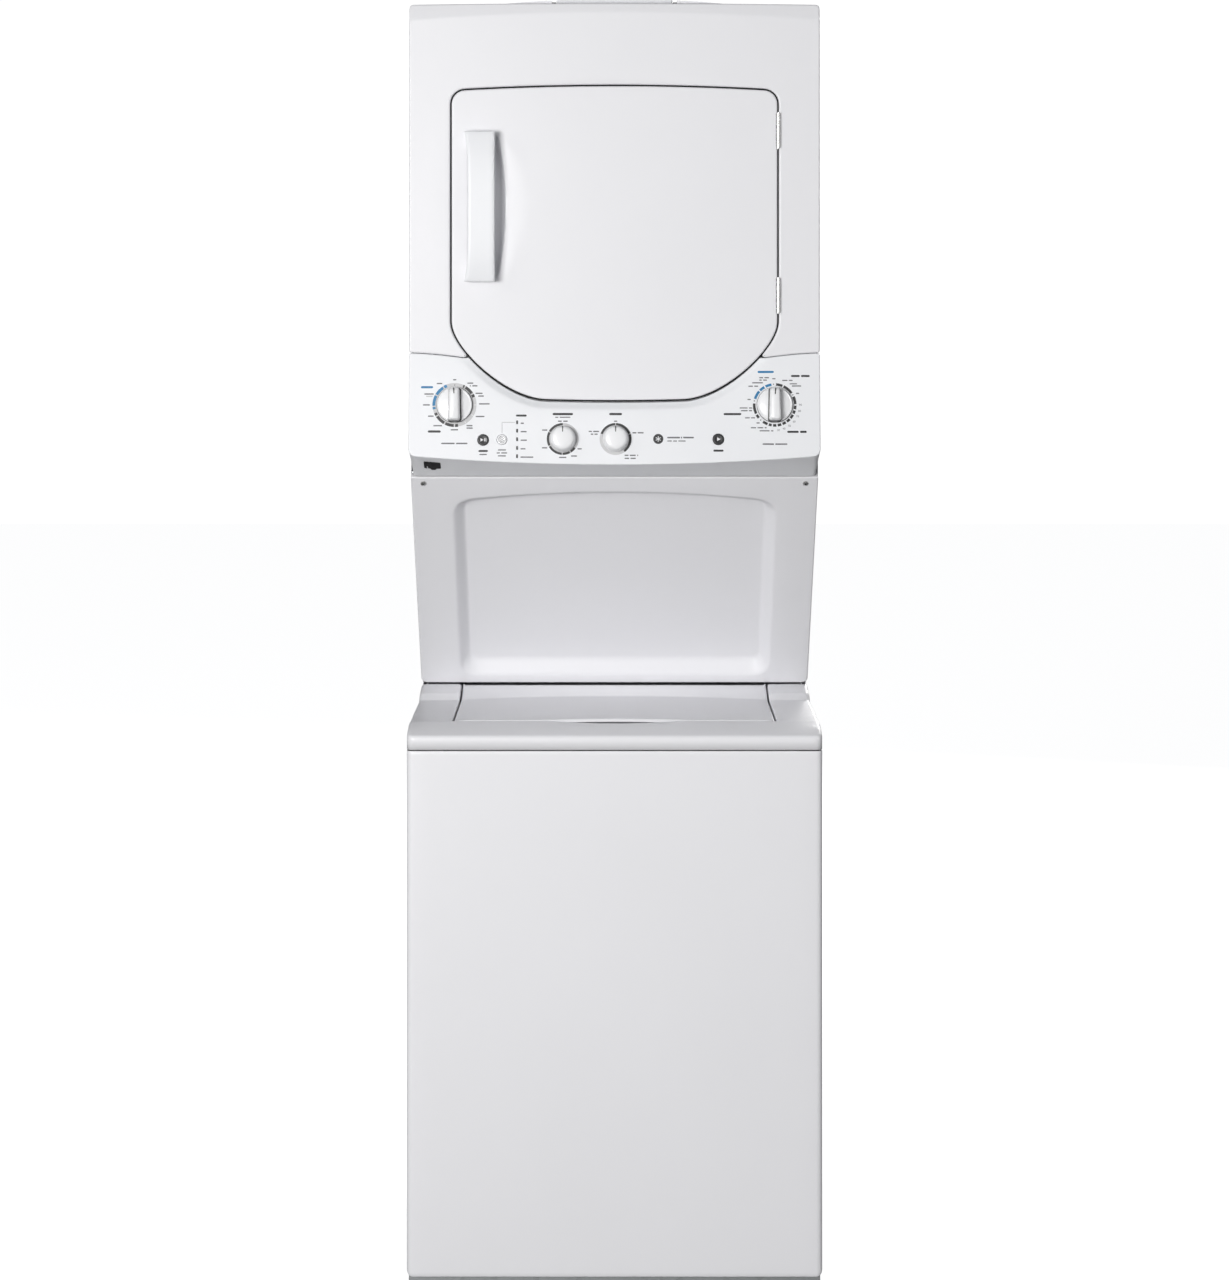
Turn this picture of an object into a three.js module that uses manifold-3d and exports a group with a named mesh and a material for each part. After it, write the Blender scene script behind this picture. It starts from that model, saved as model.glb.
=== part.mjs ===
// One-piece laundry centre: a top-load washer under a front-door dryer on a slanted stand.
// Millimetres. +Z is up, the front faces -Y and +X is the right side seen from the front.
// The origin is on the floor, under the middle of the appliance.
import * as THREE from 'three';
import { mergeVertices } from 'three/addons/utils/BufferGeometryUtils.js';
import Module from 'manifold-3d';

const wasm = await Module();
wasm.setup();

// Overall size
const HALF = 301.5; // half the width of every outer casing
const FRONT = -345; // front face of the washer
const REAR = 318; // outside of the rear panels
const COLLAR_END = 345; // rear end of the exhaust collar and the depth limit at the back
const SHEET = 1.2; // sheet steel with its paint
const FIT = 0.4; // gap between two pieces that meet

// Washer
const FRAME_BOTTOM = 30;
const FRAME_TOP = 54;
const CABINET_TOP = 814.4;
const DECK = 848; // rear deck of the top cover
const TUB_Y = -55; // vertical axis of tub, basket and agitator
const ROD_X = 262; // suspension rods and feet stand in the four corners
const ROD_Y = [-305, 195];
const FOOT_Y = [-300, 280];
const LUG_Z = 312; // underside of the tub's suspension lugs
const BRACKET_Z = 790;
const MOTOR_XY = [113, -168];
const LID_HALF = 236.5;
const LID_FRONT = -254;
const LID_AXIS = { y: 30, z: 850 };
const LID_CLEAR = 43.5; // the lid's rear edge swings inside this line
const INLET_X = [155, 205];
const INLET_Z = 760;
const DRAIN = { x: -170, y: 190, z: 110 };

// Stand
const SLANT = { y: 34, z: 864, length: 438, lean: Math.atan2(279, 341) };
const STAND_TOP = 1204.8;
const RECESS = { half: 219, low: 50, high: 373, crown: 18, depth: 14, wall: 15 };

// Dryer
const FACE = -281; // front of the dryer's panel and door
const SEAM = 1389; // seam between front panel and control fascia
const FASCIA_LEAN = THREE.MathUtils.degToRad(-7.5); // its foot stands forward of its top
const BASE_Z = 1207;
const DRYER_TOP = 1899;
const CROWN = 1903.5;
const SIDE_FRONT = -257.6;
const FASCIA_REAR = -236.4;
const DRUM = { z: 1600, radius: 275, mouth: 228, front: -216, back: 270 };
const THROAT = { z: 1572, radius: 185 };
const BLOWER = { x: 150, z: 1284, radius: 66 };
const EXHAUST = { x: -60, z: 1264, radius: 50.8 };
const BELT_Y = [28, 38];
const HINGE = { x: 240.3, y: -282, radius: 4, upper: 1689, lower: 1447, length: 51.5 };
const LINT = { half: 84, y0: -243.5, y1: -230.5, bottom: 1790, top: 1910 };

// ---------------------------------------------------------------- solids

function solidOf(geometry) {
  const bare = geometry.index ? geometry.toNonIndexed() : geometry.clone();
  bare.deleteAttribute('normal');
  bare.deleteAttribute('uv');
  const merged = mergeVertices(bare, 1e-4);
  const index = merged.index.array;
  const triangles = [];
  for (let i = 0; i < index.length; i += 3) {
    const [a, b, c] = [index[i], index[i + 1], index[i + 2]];
    if (a !== b && b !== c && c !== a) triangles.push(a, b, c);
  }
  const mesh = new wasm.Mesh({
    numProp: 3,
    vertProperties: new Float32Array(merged.attributes.position.array),
    triVerts: new Uint32Array(triangles),
  });
  return new wasm.Manifold(mesh);
}

function geometryOf(solid) {
  const mesh = solid.getMesh();
  const geometry = new THREE.BufferGeometry();
  geometry.setAttribute('position', new THREE.BufferAttribute(new Float32Array(mesh.vertProperties), 3));
  geometry.setIndex(new THREE.BufferAttribute(new Uint32Array(mesh.triVerts), 1));
  geometry.computeVertexNormals();
  return geometry;
}

const join = (solids) => solids.reduce((whole, next) => whole.add(next));
const cut = (solid, cutters) => cutters.reduce((rest, cutter) => rest.subtract(cutter), solid);

function box([x0, x1], [y0, y1], [z0, z1]) {
  const geometry = new THREE.BoxGeometry(x1 - x0, y1 - y0, z1 - z0);
  return solidOf(geometry.translate((x0 + x1) / 2, (y0 + y1) / 2, (z0 + z1) / 2));
}

const outline = (points) => new THREE.Shape(points.map(([a, b]) => new THREE.Vector2(a, b)));

function extrude(shape, from, to, steps) {
  const options = { depth: to - from, bevelEnabled: false, curveSegments: steps };
  return new THREE.ExtrudeGeometry(shape, options).translate(0, 0, from);
}

// A shape in (x, y), raised along Z.
const prismZ = (shape, from, to, steps = 6) => solidOf(extrude(shape, from, to, steps));

// A shape in (x, z), drawn back along Y.
function prismY(shape, from, to, steps = 6) {
  return solidOf(extrude(shape, -to, -from, steps).rotateX(Math.PI / 2));
}

// A shape in (y, z), drawn along X.
function prismX(shape, from, to, steps = 6) {
  const turn = new THREE.Matrix4().set(0, 0, 1, 0, 1, 0, 0, 0, 0, 1, 0, 0, 0, 0, 0, 1);
  return solidOf(extrude(shape, from, to, steps).applyMatrix4(turn));
}

// A profile of [radius, height], turned about Y. Where it doesn't reach the axis, it closes on itself.
function lathe(profile, segments) {
  const points = profile.map(([radius, height]) => new THREE.Vector2(radius, height));
  if (profile[0][0] > 0) points.push(points[0].clone());
  return new THREE.LatheGeometry(points, segments);
}

const turnedY = (profile, segments, z = 0) => solidOf(lathe(profile, segments).translate(0, 0, z));
const turnedZ = (profile, segments) => solidOf(lathe(profile, segments).rotateX(Math.PI / 2));

function rodX(radius, y, z, [x0, x1], segments = 12) {
  const geometry = new THREE.CylinderGeometry(radius, radius, x1 - x0, segments).rotateZ(Math.PI / 2);
  return solidOf(geometry.translate((x0 + x1) / 2, y, z));
}

function rodY(radius, x, z, [y0, y1], segments = 16) {
  const geometry = new THREE.CylinderGeometry(radius, radius, y1 - y0, segments);
  return solidOf(geometry.translate(x, (y0 + y1) / 2, z));
}

function rodZ(radius, x, y, [z0, z1], segments = 16) {
  const geometry = new THREE.CylinderGeometry(radius, radius, z1 - z0, segments).rotateX(Math.PI / 2);
  return solidOf(geometry.translate(x, y, (z0 + z1) / 2));
}

function roundedRect([x0, x1], [y0, y1], radius) {
  const shape = new THREE.Shape();
  shape.moveTo(x0 + radius, y0);
  shape.lineTo(x1 - radius, y0);
  shape.absarc(x1 - radius, y0 + radius, radius, -Math.PI / 2, 0);
  shape.absarc(x1 - radius, y1 - radius, radius, 0, Math.PI / 2);
  shape.absarc(x0 + radius, y1 - radius, radius, Math.PI / 2, Math.PI);
  shape.absarc(x0 + radius, y0 + radius, radius, Math.PI, 1.5 * Math.PI);
  return shape;
}

// The taut line round several circles, each [x, y, radius, sides]: the convex hull of their points.
function wrapped(circles, grow) {
  const points = [];
  for (const [x, y, radius, sides] of circles) {
    for (let i = 0; i < sides; i += 1) {
      const angle = (2 * Math.PI * i) / sides;
      points.push([x + (radius + grow) * Math.cos(angle), y + (radius + grow) * Math.sin(angle)]);
    }
  }
  points.sort((p, q) => p[0] - q[0] || p[1] - q[1]);
  const turn = (o, a, b) => (a[0] - o[0]) * (b[1] - o[1]) - (a[1] - o[1]) * (b[0] - o[0]);
  const half = (list) => {
    const chain = [];
    for (const p of list) {
      while (chain.length > 1 && turn(chain.at(-2), chain.at(-1), p) <= 1e-6) chain.pop();
      chain.push(p);
    }
    return chain.slice(0, -1);
  };
  return outline([...half(points), ...half(points.reverse())]);
}

// ---------------------------------------------------------------- finishes and scene graph

const FINISH = {
  enamel: { color: 0xeceef2, roughness: 0.28, metalness: 0 },
  shade: { color: 0xc9c8c9, roughness: 0.32, metalness: 0 },
  plastic: { color: 0xf1f2f5, roughness: 0.4, metalness: 0 },
  grey: { color: 0x8d8f92, roughness: 0.6, metalness: 0 },
  dark: { color: 0x2c2d2f, roughness: 0.5, metalness: 0 },
  rubber: { color: 0x3a3a3a, roughness: 0.85, metalness: 0 },
  felt: { color: 0x9c9a94, roughness: 0.95, metalness: 0 },
  steel: { color: 0xb5b7b9, roughness: 0.35, metalness: 1 },
  zinc: { color: 0xa4a7a8, roughness: 0.5, metalness: 1 },
  tub: { color: 0xdfe3e6, roughness: 0.45, metalness: 0 },
};

function place(parent, name, solid, finish, position = [0, 0, 0]) {
  const mesh = new THREE.Mesh(geometryOf(solid), new THREE.MeshStandardMaterial(FINISH[finish]));
  mesh.name = name;
  mesh.position.set(...position);
  parent.add(mesh);
}

function groupAt(parent, position = [0, 0, 0], leanX = 0) {
  const group = new THREE.Group();
  group.position.set(...position);
  group.rotation.x = leanX;
  parent.add(group);
  return group;
}

const corners = [
  ['front_left', -1, 0],
  ['front_right', 1, 0],
  ['rear_left', -1, 1],
  ['rear_right', 1, 1],
];

// ---------------------------------------------------------------- washer casing

function baseFrame() {
  const half = HALF - 3;
  const [front, back] = [FRONT + 7, REAR - 2];
  const flange = 60;
  const plate = 2.5;
  const chamfer = 60;
  const [hx, y0, y1] = [half - flange + 26, front + 34, back - 34];
  const opening = outline([
    [-hx + chamfer, y0], [hx - chamfer, y0], [hx, y0 + chamfer], [hx, y1 - chamfer],
    [hx - chamfer, y1], [-hx + chamfer, y1], [-hx, y1 - chamfer], [-hx, y0 + chamfer],
  ]);
  const cutters = [
    box([-half + plate, half - plate], [front + plate, back - plate], [FRAME_BOTTOM - 1, FRAME_TOP - plate]),
    prismZ(opening, FRAME_BOTTOM, FRAME_TOP + 1),
  ];
  for (const [, side, row] of corners) {
    cutters.push(rodZ(5.6, side * ROD_X, FOOT_Y[row], [FRAME_BOTTOM, FRAME_TOP + 1], 12));
  }
  return cut(box([-half, half], [front, back], [FRAME_BOTTOM, FRAME_TOP]), cutters);
}

function levelingFoot() {
  const nutTop = FRAME_TOP - 2.5 - FIT;
  return turnedZ([
    [0, 0], [22, 0], [22, 8], [12, 13], [5, 13], [5, 43], [9, 43], [9, nutTop], [5, nutTop], [5, 72], [0, 72],
  ], 8);
}

function cabinetBracket(side, y, reach) {
  const wall = side * (HALF - 1);
  const shape = outline([[wall, y], [wall - side * 72, y], [wall, y + reach]]);
  return prismZ(shape, BRACKET_Z, BRACKET_Z + 3);
}

function washerCabinet() {
  const front = -322;
  const z = [FRAME_TOP + FIT, CABINET_TOP];
  const walls = cut(box([-HALF, HALF], [front, REAR], z), [
    box([-HALF + SHEET, HALF - SHEET], [front - 1, REAR - SHEET], [z[0] - 1, z[1] + 1]),
  ]);
  const brackets = [];
  for (const side of [-1, 1]) {
    brackets.push(cabinetBracket(side, front, 82), cabinetBracket(side, 214, -90));
  }
  const holes = corners.map(([, side, row]) => rodZ(6, side * ROD_X, ROD_Y[row], [780, 800], 8));
  for (const x of INLET_X) holes.push(rodY(15, x, INLET_Z, [REAR - 5, REAR + 5], 16));
  holes.push(rodY(17, DRAIN.x, DRAIN.z, [REAR - 5, REAR + 5], 16));
  return cut(join([walls, ...brackets]), holes);
}

// A sheet bent round the front and both front corners, seen from above.
function wrapShape(half, front, back, radius, thick) {
  const shape = new THREE.Shape();
  const inner = radius - thick;
  shape.moveTo(-half, back);
  shape.lineTo(-half, front + radius);
  shape.absarc(-half + radius, front + radius, radius, Math.PI, 1.5 * Math.PI);
  shape.lineTo(half - radius, front);
  shape.absarc(half - radius, front + radius, radius, -Math.PI / 2, 0);
  shape.lineTo(half, back);
  shape.lineTo(half - thick, back);
  shape.lineTo(half - thick, front + radius);
  shape.absarc(half - radius, front + radius, inner, 0, -Math.PI / 2, true);
  shape.lineTo(-half + radius, front + thick);
  shape.absarc(-half + radius, front + radius, inner, 1.5 * Math.PI, Math.PI, true);
  shape.lineTo(-half + thick, back);
  return shape;
}

const washerFrontPanel = () => prismZ(wrapShape(HALF, FRONT, -322.4, 9, SHEET), 52, CABINET_TOP - 0.9, 5);

function topCover() {
  const thick = 2;
  const end = REAR + 0.5;
  const low = 815;
  const skin = outline([
    [FRONT, low], [FRONT, 829], [FRONT + 2, 833.5], [FRONT + 6, 836], [-270, 847.5], [1, 845.5],
    [30, 862], [36, 862], [36, DECK], [end, DECK], [end, low],
  ]);
  const hollow = outline([
    [FRONT + thick, low - 1], [FRONT + thick, 828.5], [FRONT + 6.5, 833.4], [-270, 845], [1, 843],
    [29, 859.4], [34, 859.4], [34, DECK - thick], [end - thick, DECK - thick], [end - thick, low - 1],
  ]);
  const plan = (inset) => roundedRect([-HALF + inset, HALF - inset], [FRONT + inset, 400], 12 - inset);
  const shell = prismX(skin, -HALF, HALF)
    .intersect(prismZ(plan(0), 800, 900, 4))
    .subtract(prismX(hollow, -HALF, HALF).intersect(prismZ(plan(thick), 800, 900, 4)));
  const gap = LID_HALF + 2.5;
  const lidFront = LID_FRONT - 2;
  const well = box([-gap - thick, gap + thick], [lidFront - thick, LID_CLEAR + thick], [818, 844]);
  const wellSpace = box([-gap, gap], [lidFront, LID_CLEAR], [820.5, 900]);
  const mouth = prismZ(roundedRect([-190, 190], [-232, 12], 90), 810, 830, 6);
  const pins = rodX(2.9, LID_AXIS.y, LID_AXIS.z, [-gap - 12, gap + 12]);
  const cheeks = [-1, 1].map((side) => {
    const x = [side * (gap + thick / 2), side * (gap + 9)].sort((a, b) => a - b);
    return box(x, [18, 36], [840, 859.5]);
  });
  return cut(join([shell, well, ...cheeks]), [wellSpace, mouth, pins]);
}

function washerLid() {
  const skin = outline([
    [LID_FRONT, 827], [LID_FRONT, 842], [LID_FRONT + 2, 845.6], [LID_FRONT + 6, 847.3], [1, 845.3],
    [28.5, 861], [34, 861], [34, 845], [5, 833], [0, 827],
  ]);
  const hollow = outline([
    [LID_FRONT + 2, 820], [LID_FRONT + 2, 841.8], [LID_FRONT + 6.6, 845.3], [1, 843.3],
    [29, 859], [32, 859], [32, 846], [3.5, 834], [-2, 820],
  ]);
  const shell = prismX(skin, -LID_HALF, LID_HALF).subtract(prismX(hollow, -LID_HALF + 2, LID_HALF - 2));
  const pins = [-1, 1].map((side) => {
    const x = [side * (LID_HALF - 2), side * (LID_HALF + 9)].sort((a, b) => a - b);
    return rodX(2.5, LID_AXIS.y, LID_AXIS.z, x);
  });
  return join([shell, ...pins]);
}

// ---------------------------------------------------------------- washer inside, about the tub's axis

function outerTub() {
  const shell = turnedZ([
    [16, 186], [255, 186], [262, 196], [262, 778], [204, 786], [204, 782.5], [258, 774.5], [258, 198],
    [253, 190], [16, 190],
  ], 24);
  const through = [LUG_Z - 1, LUG_Z + 11];
  const lugs = [];
  const holes = [];
  for (const [, side, row] of corners) {
    const reach = ROD_Y[row] - TUB_Y;
    const tip = reach + 12 * Math.sign(reach);
    const arm = outline([
      [side * 150, reach * 0.62], [side * 190, reach * 0.45], [side * 274, tip], [side * 250, tip],
    ]);
    lugs.push(prismZ(arm, LUG_Z, LUG_Z + 10).subtract(rodZ(255, 0, 0, through, 24)));
    holes.push(rodZ(6, side * ROD_X, reach, through, 8));
  }
  return cut(join([shell, ...lugs]), holes);
}

const suspensionRod = () => turnedZ([
  [0, 250], [16, 250], [16, 256], [13, 258], [13, LUG_Z - FIT], [4, LUG_Z - FIT], [4, BRACKET_Z + 3 + FIT],
  [9, BRACKET_Z + 3 + FIT], [9, 800], [0, 804],
], 8);

const washBasket = () => turnedZ([
  [14, 205], [236, 205], [240, 211], [240, 742], [238.4, 742], [238.4, 212], [235, 206.6], [14, 206.6],
], 24);

const balanceRing = () => turnedZ([[206, 742.4], [243, 742.4], [243, 768], [206, 768]], 24);

function agitator() {
  const column = turnedZ([
    [0, 250], [13, 250], [13, 212], [146, 212], [150, 220], [72, 262], [42, 330], [36, 540], [46, 566],
    [46, 596], [0, 609],
  ], 16);
  const vane = outline([[30, 232], [130, 224], [128, 262], [62, 380], [30, 430]]);
  const vanes = [0, 1, 2, 3].map((i) => {
    const blade = extrude(vane, -4, 4, 1).rotateX(Math.PI / 2);
    return solidOf(blade.rotateZ((i * Math.PI) / 2 + Math.PI / 4));
  });
  return join([column, ...vanes]);
}

const gearcase = () => turnedZ([
  [0, 70], [9, 70], [9, 118], [74, 118], [80, 126], [80, 160], [40, 173], [13.5, 173], [13.5, 203],
  [12.2, 203], [12.2, 246], [0, 246],
], 14);

const basketPulley = () => turnedZ([
  [9.6, 78], [66, 78], [70, 80], [66, 87], [70, 94], [66, 96], [9.6, 96],
], 16);

const washerMotor = () => turnedZ([
  [0, 132], [6.6, 132], [6.6, 102], [58, 102], [58, 170], [50, 178], [0, 178],
], 14);

const washerMotorPulley = () => turnedZ([
  [0, 76], [20, 76], [22, 79], [18, 87], [22, 95], [20, 98], [6, 98], [6, 130], [0, 130],
], 10);

function washerBelt() {
  const [mx, my] = [MOTOR_XY[0], MOTOR_XY[1] - TUB_Y];
  const circles = [[0, 0, 70, 20], [mx, my, 22, 10]];
  return prismZ(wrapped(circles, 5), 83, 91).subtract(prismZ(wrapped(circles, 1.6), 82, 92));
}

function drainPump() {
  const body = rodZ(42, DRAIN.x, DRAIN.y, [66, 150], 20);
  const spout = rodY(15, DRAIN.x, DRAIN.z, [DRAIN.y, COLLAR_END - 4], 16);
  const neck = rodZ(15, DRAIN.x, DRAIN.y, [140, 180], 12);
  return cut(join([body, spout, neck]), [rodY(11.5, DRAIN.x, DRAIN.z, [REAR - 60, COLLAR_END + 1], 16)]);
}

function inletValve() {
  const body = box([INLET_X[0] - 24, INLET_X[1] + 24], [272, REAR - SHEET - 1], [INLET_Z - 20, INLET_Z + 20]);
  const stubs = INLET_X.map((x) => rodY(13, x, INLET_Z, [REAR - 10, COLLAR_END - 4], 16));
  const spout = rodZ(10, (INLET_X[0] + INLET_X[1]) / 2, 288, [INLET_Z - 46, INLET_Z], 12);
  return join([body, ...stubs, spout]);
}

function buildWasher(parent) {
  const washer = groupAt(parent);
  place(washer, 'base_frame', baseFrame(), 'zinc');
  for (const [name, side, row] of corners) {
    place(washer, `leveling_foot_${name}`, levelingFoot(), 'rubber', [side * ROD_X, FOOT_Y[row], 0]);
  }
  place(washer, 'washer_cabinet', washerCabinet(), 'enamel');
  place(washer, 'washer_front_panel', washerFrontPanel(), 'enamel');
  place(washer, 'washer_top_cover', topCover(), 'enamel');
  place(washer, 'washer_lid', washerLid(), 'enamel');
  place(washer, 'drain_pump', drainPump(), 'grey');
  place(washer, 'water_inlet_valve', inletValve(), 'grey');

  const tub = groupAt(washer, [0, TUB_Y, 0]);
  place(tub, 'outer_tub', outerTub(), 'tub');
  place(tub, 'wash_basket', washBasket(), 'steel');
  place(tub, 'balance_ring', balanceRing(), 'plastic');
  place(tub, 'agitator', agitator(), 'plastic');
  place(tub, 'gearcase', gearcase(), 'zinc');
  place(tub, 'basket_pulley', basketPulley(), 'zinc');
  place(tub, 'washer_belt', washerBelt(), 'rubber');
  const motor = groupAt(washer, [...MOTOR_XY, 0]);
  place(motor, 'washer_motor', washerMotor(), 'zinc');
  place(motor, 'washer_motor_pulley', washerMotorPulley(), 'zinc');
  for (const [name, side, row] of corners) {
    place(washer, `suspension_rod_${name}`, suspensionRod(), 'steel', [side * ROD_X, ROD_Y[row], 0]);
  }
}

// ---------------------------------------------------------------- stand

// A recess with sloped walls: its floor outline, widened by a bevel up to the plate's face.
function recessBlock(grow) {
  const { half, low, high, crown, depth, wall } = RECESS;
  const shape = new THREE.Shape();
  const [h, r] = [half + grow, 16 + grow];
  shape.moveTo(-h + r, low - grow);
  shape.lineTo(h - r, low - grow);
  shape.absarc(h - r, low - grow + r, r, -Math.PI / 2, 0);
  shape.lineTo(h, high + grow - r);
  shape.quadraticCurveTo(h, high + grow, h - r, high + grow + 2);
  shape.quadraticCurveTo(0, high + grow + 2 * crown, -h + r, high + grow + 2);
  shape.quadraticCurveTo(-h, high + grow, -h, high + grow - r);
  shape.lineTo(-h, low - grow + r);
  shape.absarc(-h + r, low - grow + r, r, Math.PI, 1.5 * Math.PI);
  const geometry = new THREE.ExtrudeGeometry(shape, {
    depth: 6, bevelEnabled: true, bevelThickness: depth, bevelSize: wall, bevelSegments: 1, curveSegments: 5,
  });
  return solidOf(geometry.rotateX(Math.PI / 2).translate(0, grow, 0));
}

// In its own frame: the plate's face is at y = 0, facing -Y, and z runs up the slope.
function backsplashPanel() {
  const back = 18;
  const side = outline([[0, 0], [back, 0], [back, SLANT.length - back], [0, SLANT.length]]);
  const tray = prismX(side, -HALF, HALF).subtract(
    box([-HALF + SHEET, HALF - SHEET], [SHEET, back + 1], [-1, SLANT.length + 1]),
  );
  const behind = box([-HALF + 5, HALF - 5], [0.2, 60], [5, SLANT.length - 5]);
  return join([tray, recessBlock(SHEET).intersect(behind)]).subtract(recessBlock(0));
}

function standFrame() {
  const skin = HALF - 2;
  const back = REAR - FIT;
  const rise = STAND_TOP;
  const slope = Math.tan(SLANT.lean);
  const foot = { y: SLANT.y + 4, z: DECK + FIT };
  const lip = SLANT.z + 1;
  const side = outline([
    [foot.y, foot.z], [back, foot.z], [back, rise], [foot.y - (rise - lip) * slope, rise], [foot.y, lip],
  ]);
  const inside = box([-skin + SHEET, skin - SHEET], [-400, back - SHEET], [foot.z - 1, rise + 1]);
  return prismX(side, -skin, skin).subtract(inside);
}

function buildStand(parent) {
  place(parent, 'stand_frame', standFrame(), 'enamel');
  const slant = groupAt(parent, [0, SLANT.y, SLANT.z], SLANT.lean);
  place(slant, 'backsplash_panel', backsplashPanel(), 'shade');
}

// ---------------------------------------------------------------- dryer casing

// The door's outline in (x, z), grown by a margin all round.
function doorOutline(grow) {
  const h = 239 + grow;
  const r = 20 + grow;
  const shape = new THREE.Shape();
  shape.moveTo(-h, 1434);
  shape.bezierCurveTo(-h, 1396 - 0.4 * grow, -160 - 0.4 * grow, 1322 - grow, -100, 1320.5 - grow);
  shape.quadraticCurveTo(0, 1317.5 - grow, 100, 1320.5 - grow);
  shape.bezierCurveTo(160 + 0.4 * grow, 1322 - grow, h, 1396 - 0.4 * grow, h, 1434);
  shape.lineTo(h, 1754);
  shape.absarc(219, 1754, r, 0, Math.PI / 2);
  shape.quadraticCurveTo(0, 1786 + grow, -219, 1774 + grow);
  shape.absarc(-219, 1754, r, Math.PI / 2, Math.PI);
  return shape;
}

function frontOutline(inset) {
  const shape = new THREE.Shape();
  const [h, z0, z1] = [HALF - inset, SEAM + FIT, DRYER_TOP + 1 - inset];
  shape.moveTo(-h, z0);
  shape.lineTo(h, z0);
  shape.lineTo(h, z1);
  shape.quadraticCurveTo(0, 2 * (CROWN - inset) - z1, -h, z1);
  return shape;
}

// The notch round a door hinge, cut out of the panel's and the door's edge.
const hingeNotches = () => [HINGE.upper, HINGE.lower].map((z) =>
  box([HINGE.x - 5, HINGE.x + 5], [FACE - 8, FACE + 5.4], [z - 1.2, z + HINGE.length + 1.2]));

function dryerFrontPanel() {
  const skin = 1.4;
  const back = SIDE_FRONT - FIT;
  const outer = prismY(frontOutline(0), FACE, back, 8);
  const inner = prismY(frontOutline(skin), FACE + skin, back + 1, 8);
  const room = box([-HALF + skin, HALF - skin], [FACE + skin, back + 1], [SEAM - 5, SEAM + 10]);
  return cut(outer, [inner, room, prismY(doorOutline(2.5), FACE - 1, back + 1, 5), ...hingeNotches()]);
}

function dryerCabinet() {
  const side = outline([
    [FASCIA_REAR + FIT, BASE_Z], [REAR, BASE_Z], [REAR, DRYER_TOP], [SIDE_FRONT, DRYER_TOP],
    [SIDE_FRONT, SEAM + 1], [FASCIA_REAR + FIT, SEAM + 1],
  ]);
  const wide = HALF - SHEET;
  const hollow = box([-wide, wide], [SIDE_FRONT - 1, REAR + 1], [BASE_Z - 1, DRYER_TOP - SHEET]);
  const slotHalf = LINT.half + 3;
  const slotY = [LINT.y0 - 2.5, LINT.y1 + 2.5];
  const slot = box([-slotHalf, slotHalf], slotY, [DRYER_TOP - 5, DRYER_TOP + 1]);
  return cut(prismX(side, -HALF, HALF), [hollow, slot]);
}

function dryerRearPanel() {
  const half = HALF - SHEET - FIT;
  const plate = box([-half, half], [REAR - SHEET, REAR], [BASE_Z + 6, DRYER_TOP - SHEET - FIT]);
  const cutters = [rodY(EXHAUST.radius + 1, EXHAUST.x, EXHAUST.z, [REAR - 5, REAR + 5], 28)];
  for (let i = 0; i < 7; i += 1) {
    cutters.push(box([150, 260], [REAR - 5, REAR + 5], [1500 + i * 16, 1506 + i * 16]));
  }
  return cut(plate, cutters);
}

function dryerBase() {
  const half = HALF - SHEET - FIT;
  const [front, back] = [FASCIA_REAR + 1, REAR - SHEET - FIT];
  return box([-half, half], [front, back], [BASE_Z, BASE_Z + 5]).subtract(
    box([-half + SHEET, half - SHEET], [front + SHEET, back - SHEET], [BASE_Z + SHEET, BASE_Z + 6]),
  );
}

function frontBulkhead() {
  const half = HALF - SHEET - 0.6;
  const y = [-257, -255.6];
  const upper = box([-half, half], y, [SEAM + 12, DRYER_TOP - SHEET - 1]);
  const lower = prismY(doorOutline(7), y[0], y[1], 5);
  const { z, radius } = THROAT;
  const tube = rodY(radius + 2, 0, z, [y[0], DRUM.front - 3.4], 24);
  const flange = rodY(246, 0, DRUM.z, [DRUM.front - 5, DRUM.front - 3.4], 28);
  return join([upper, lower, tube, flange]).subtract(rodY(radius, 0, z, [y[0] - 1, DRUM.front], 24));
}

// A rod along the fascia's normal. depth 0 is the fascia's face and positive depth goes in.
function fasciaRod(radius, x, z, [d0, d1], segments = 16) {
  const geometry = new THREE.CylinderGeometry(radius, radius, d1 - d0, segments);
  geometry.translate(x, (d0 + d1) / 2, (z - SEAM) / Math.cos(FASCIA_LEAN)).rotateX(FASCIA_LEAN);
  return solidOf(geometry.translate(0, FACE, SEAM));
}

const DIALS = [
  { name: 'washer_cycle_knob', x: -234.3, z: 1312.5, big: true },
  { name: 'dryer_cycle_knob', x: 234.7, z: 1312.5, big: true },
  { name: 'temperature_knob', x: -75.7, z: 1263, big: false },
  { name: 'options_knob', x: 1.6, z: 1263, big: false },
];
const BUTTONS = [
  { name: 'start_button', x: -192, z: 1261.5, radius: 8, finish: 'dark' },
  { name: 'rinse_button', x: -164.6, z: 1262, radius: 7.3, finish: 'plastic' },
  { name: 'dryer_start_button', x: 152, z: 1262.5, radius: 8, finish: 'dark' },
];

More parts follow.
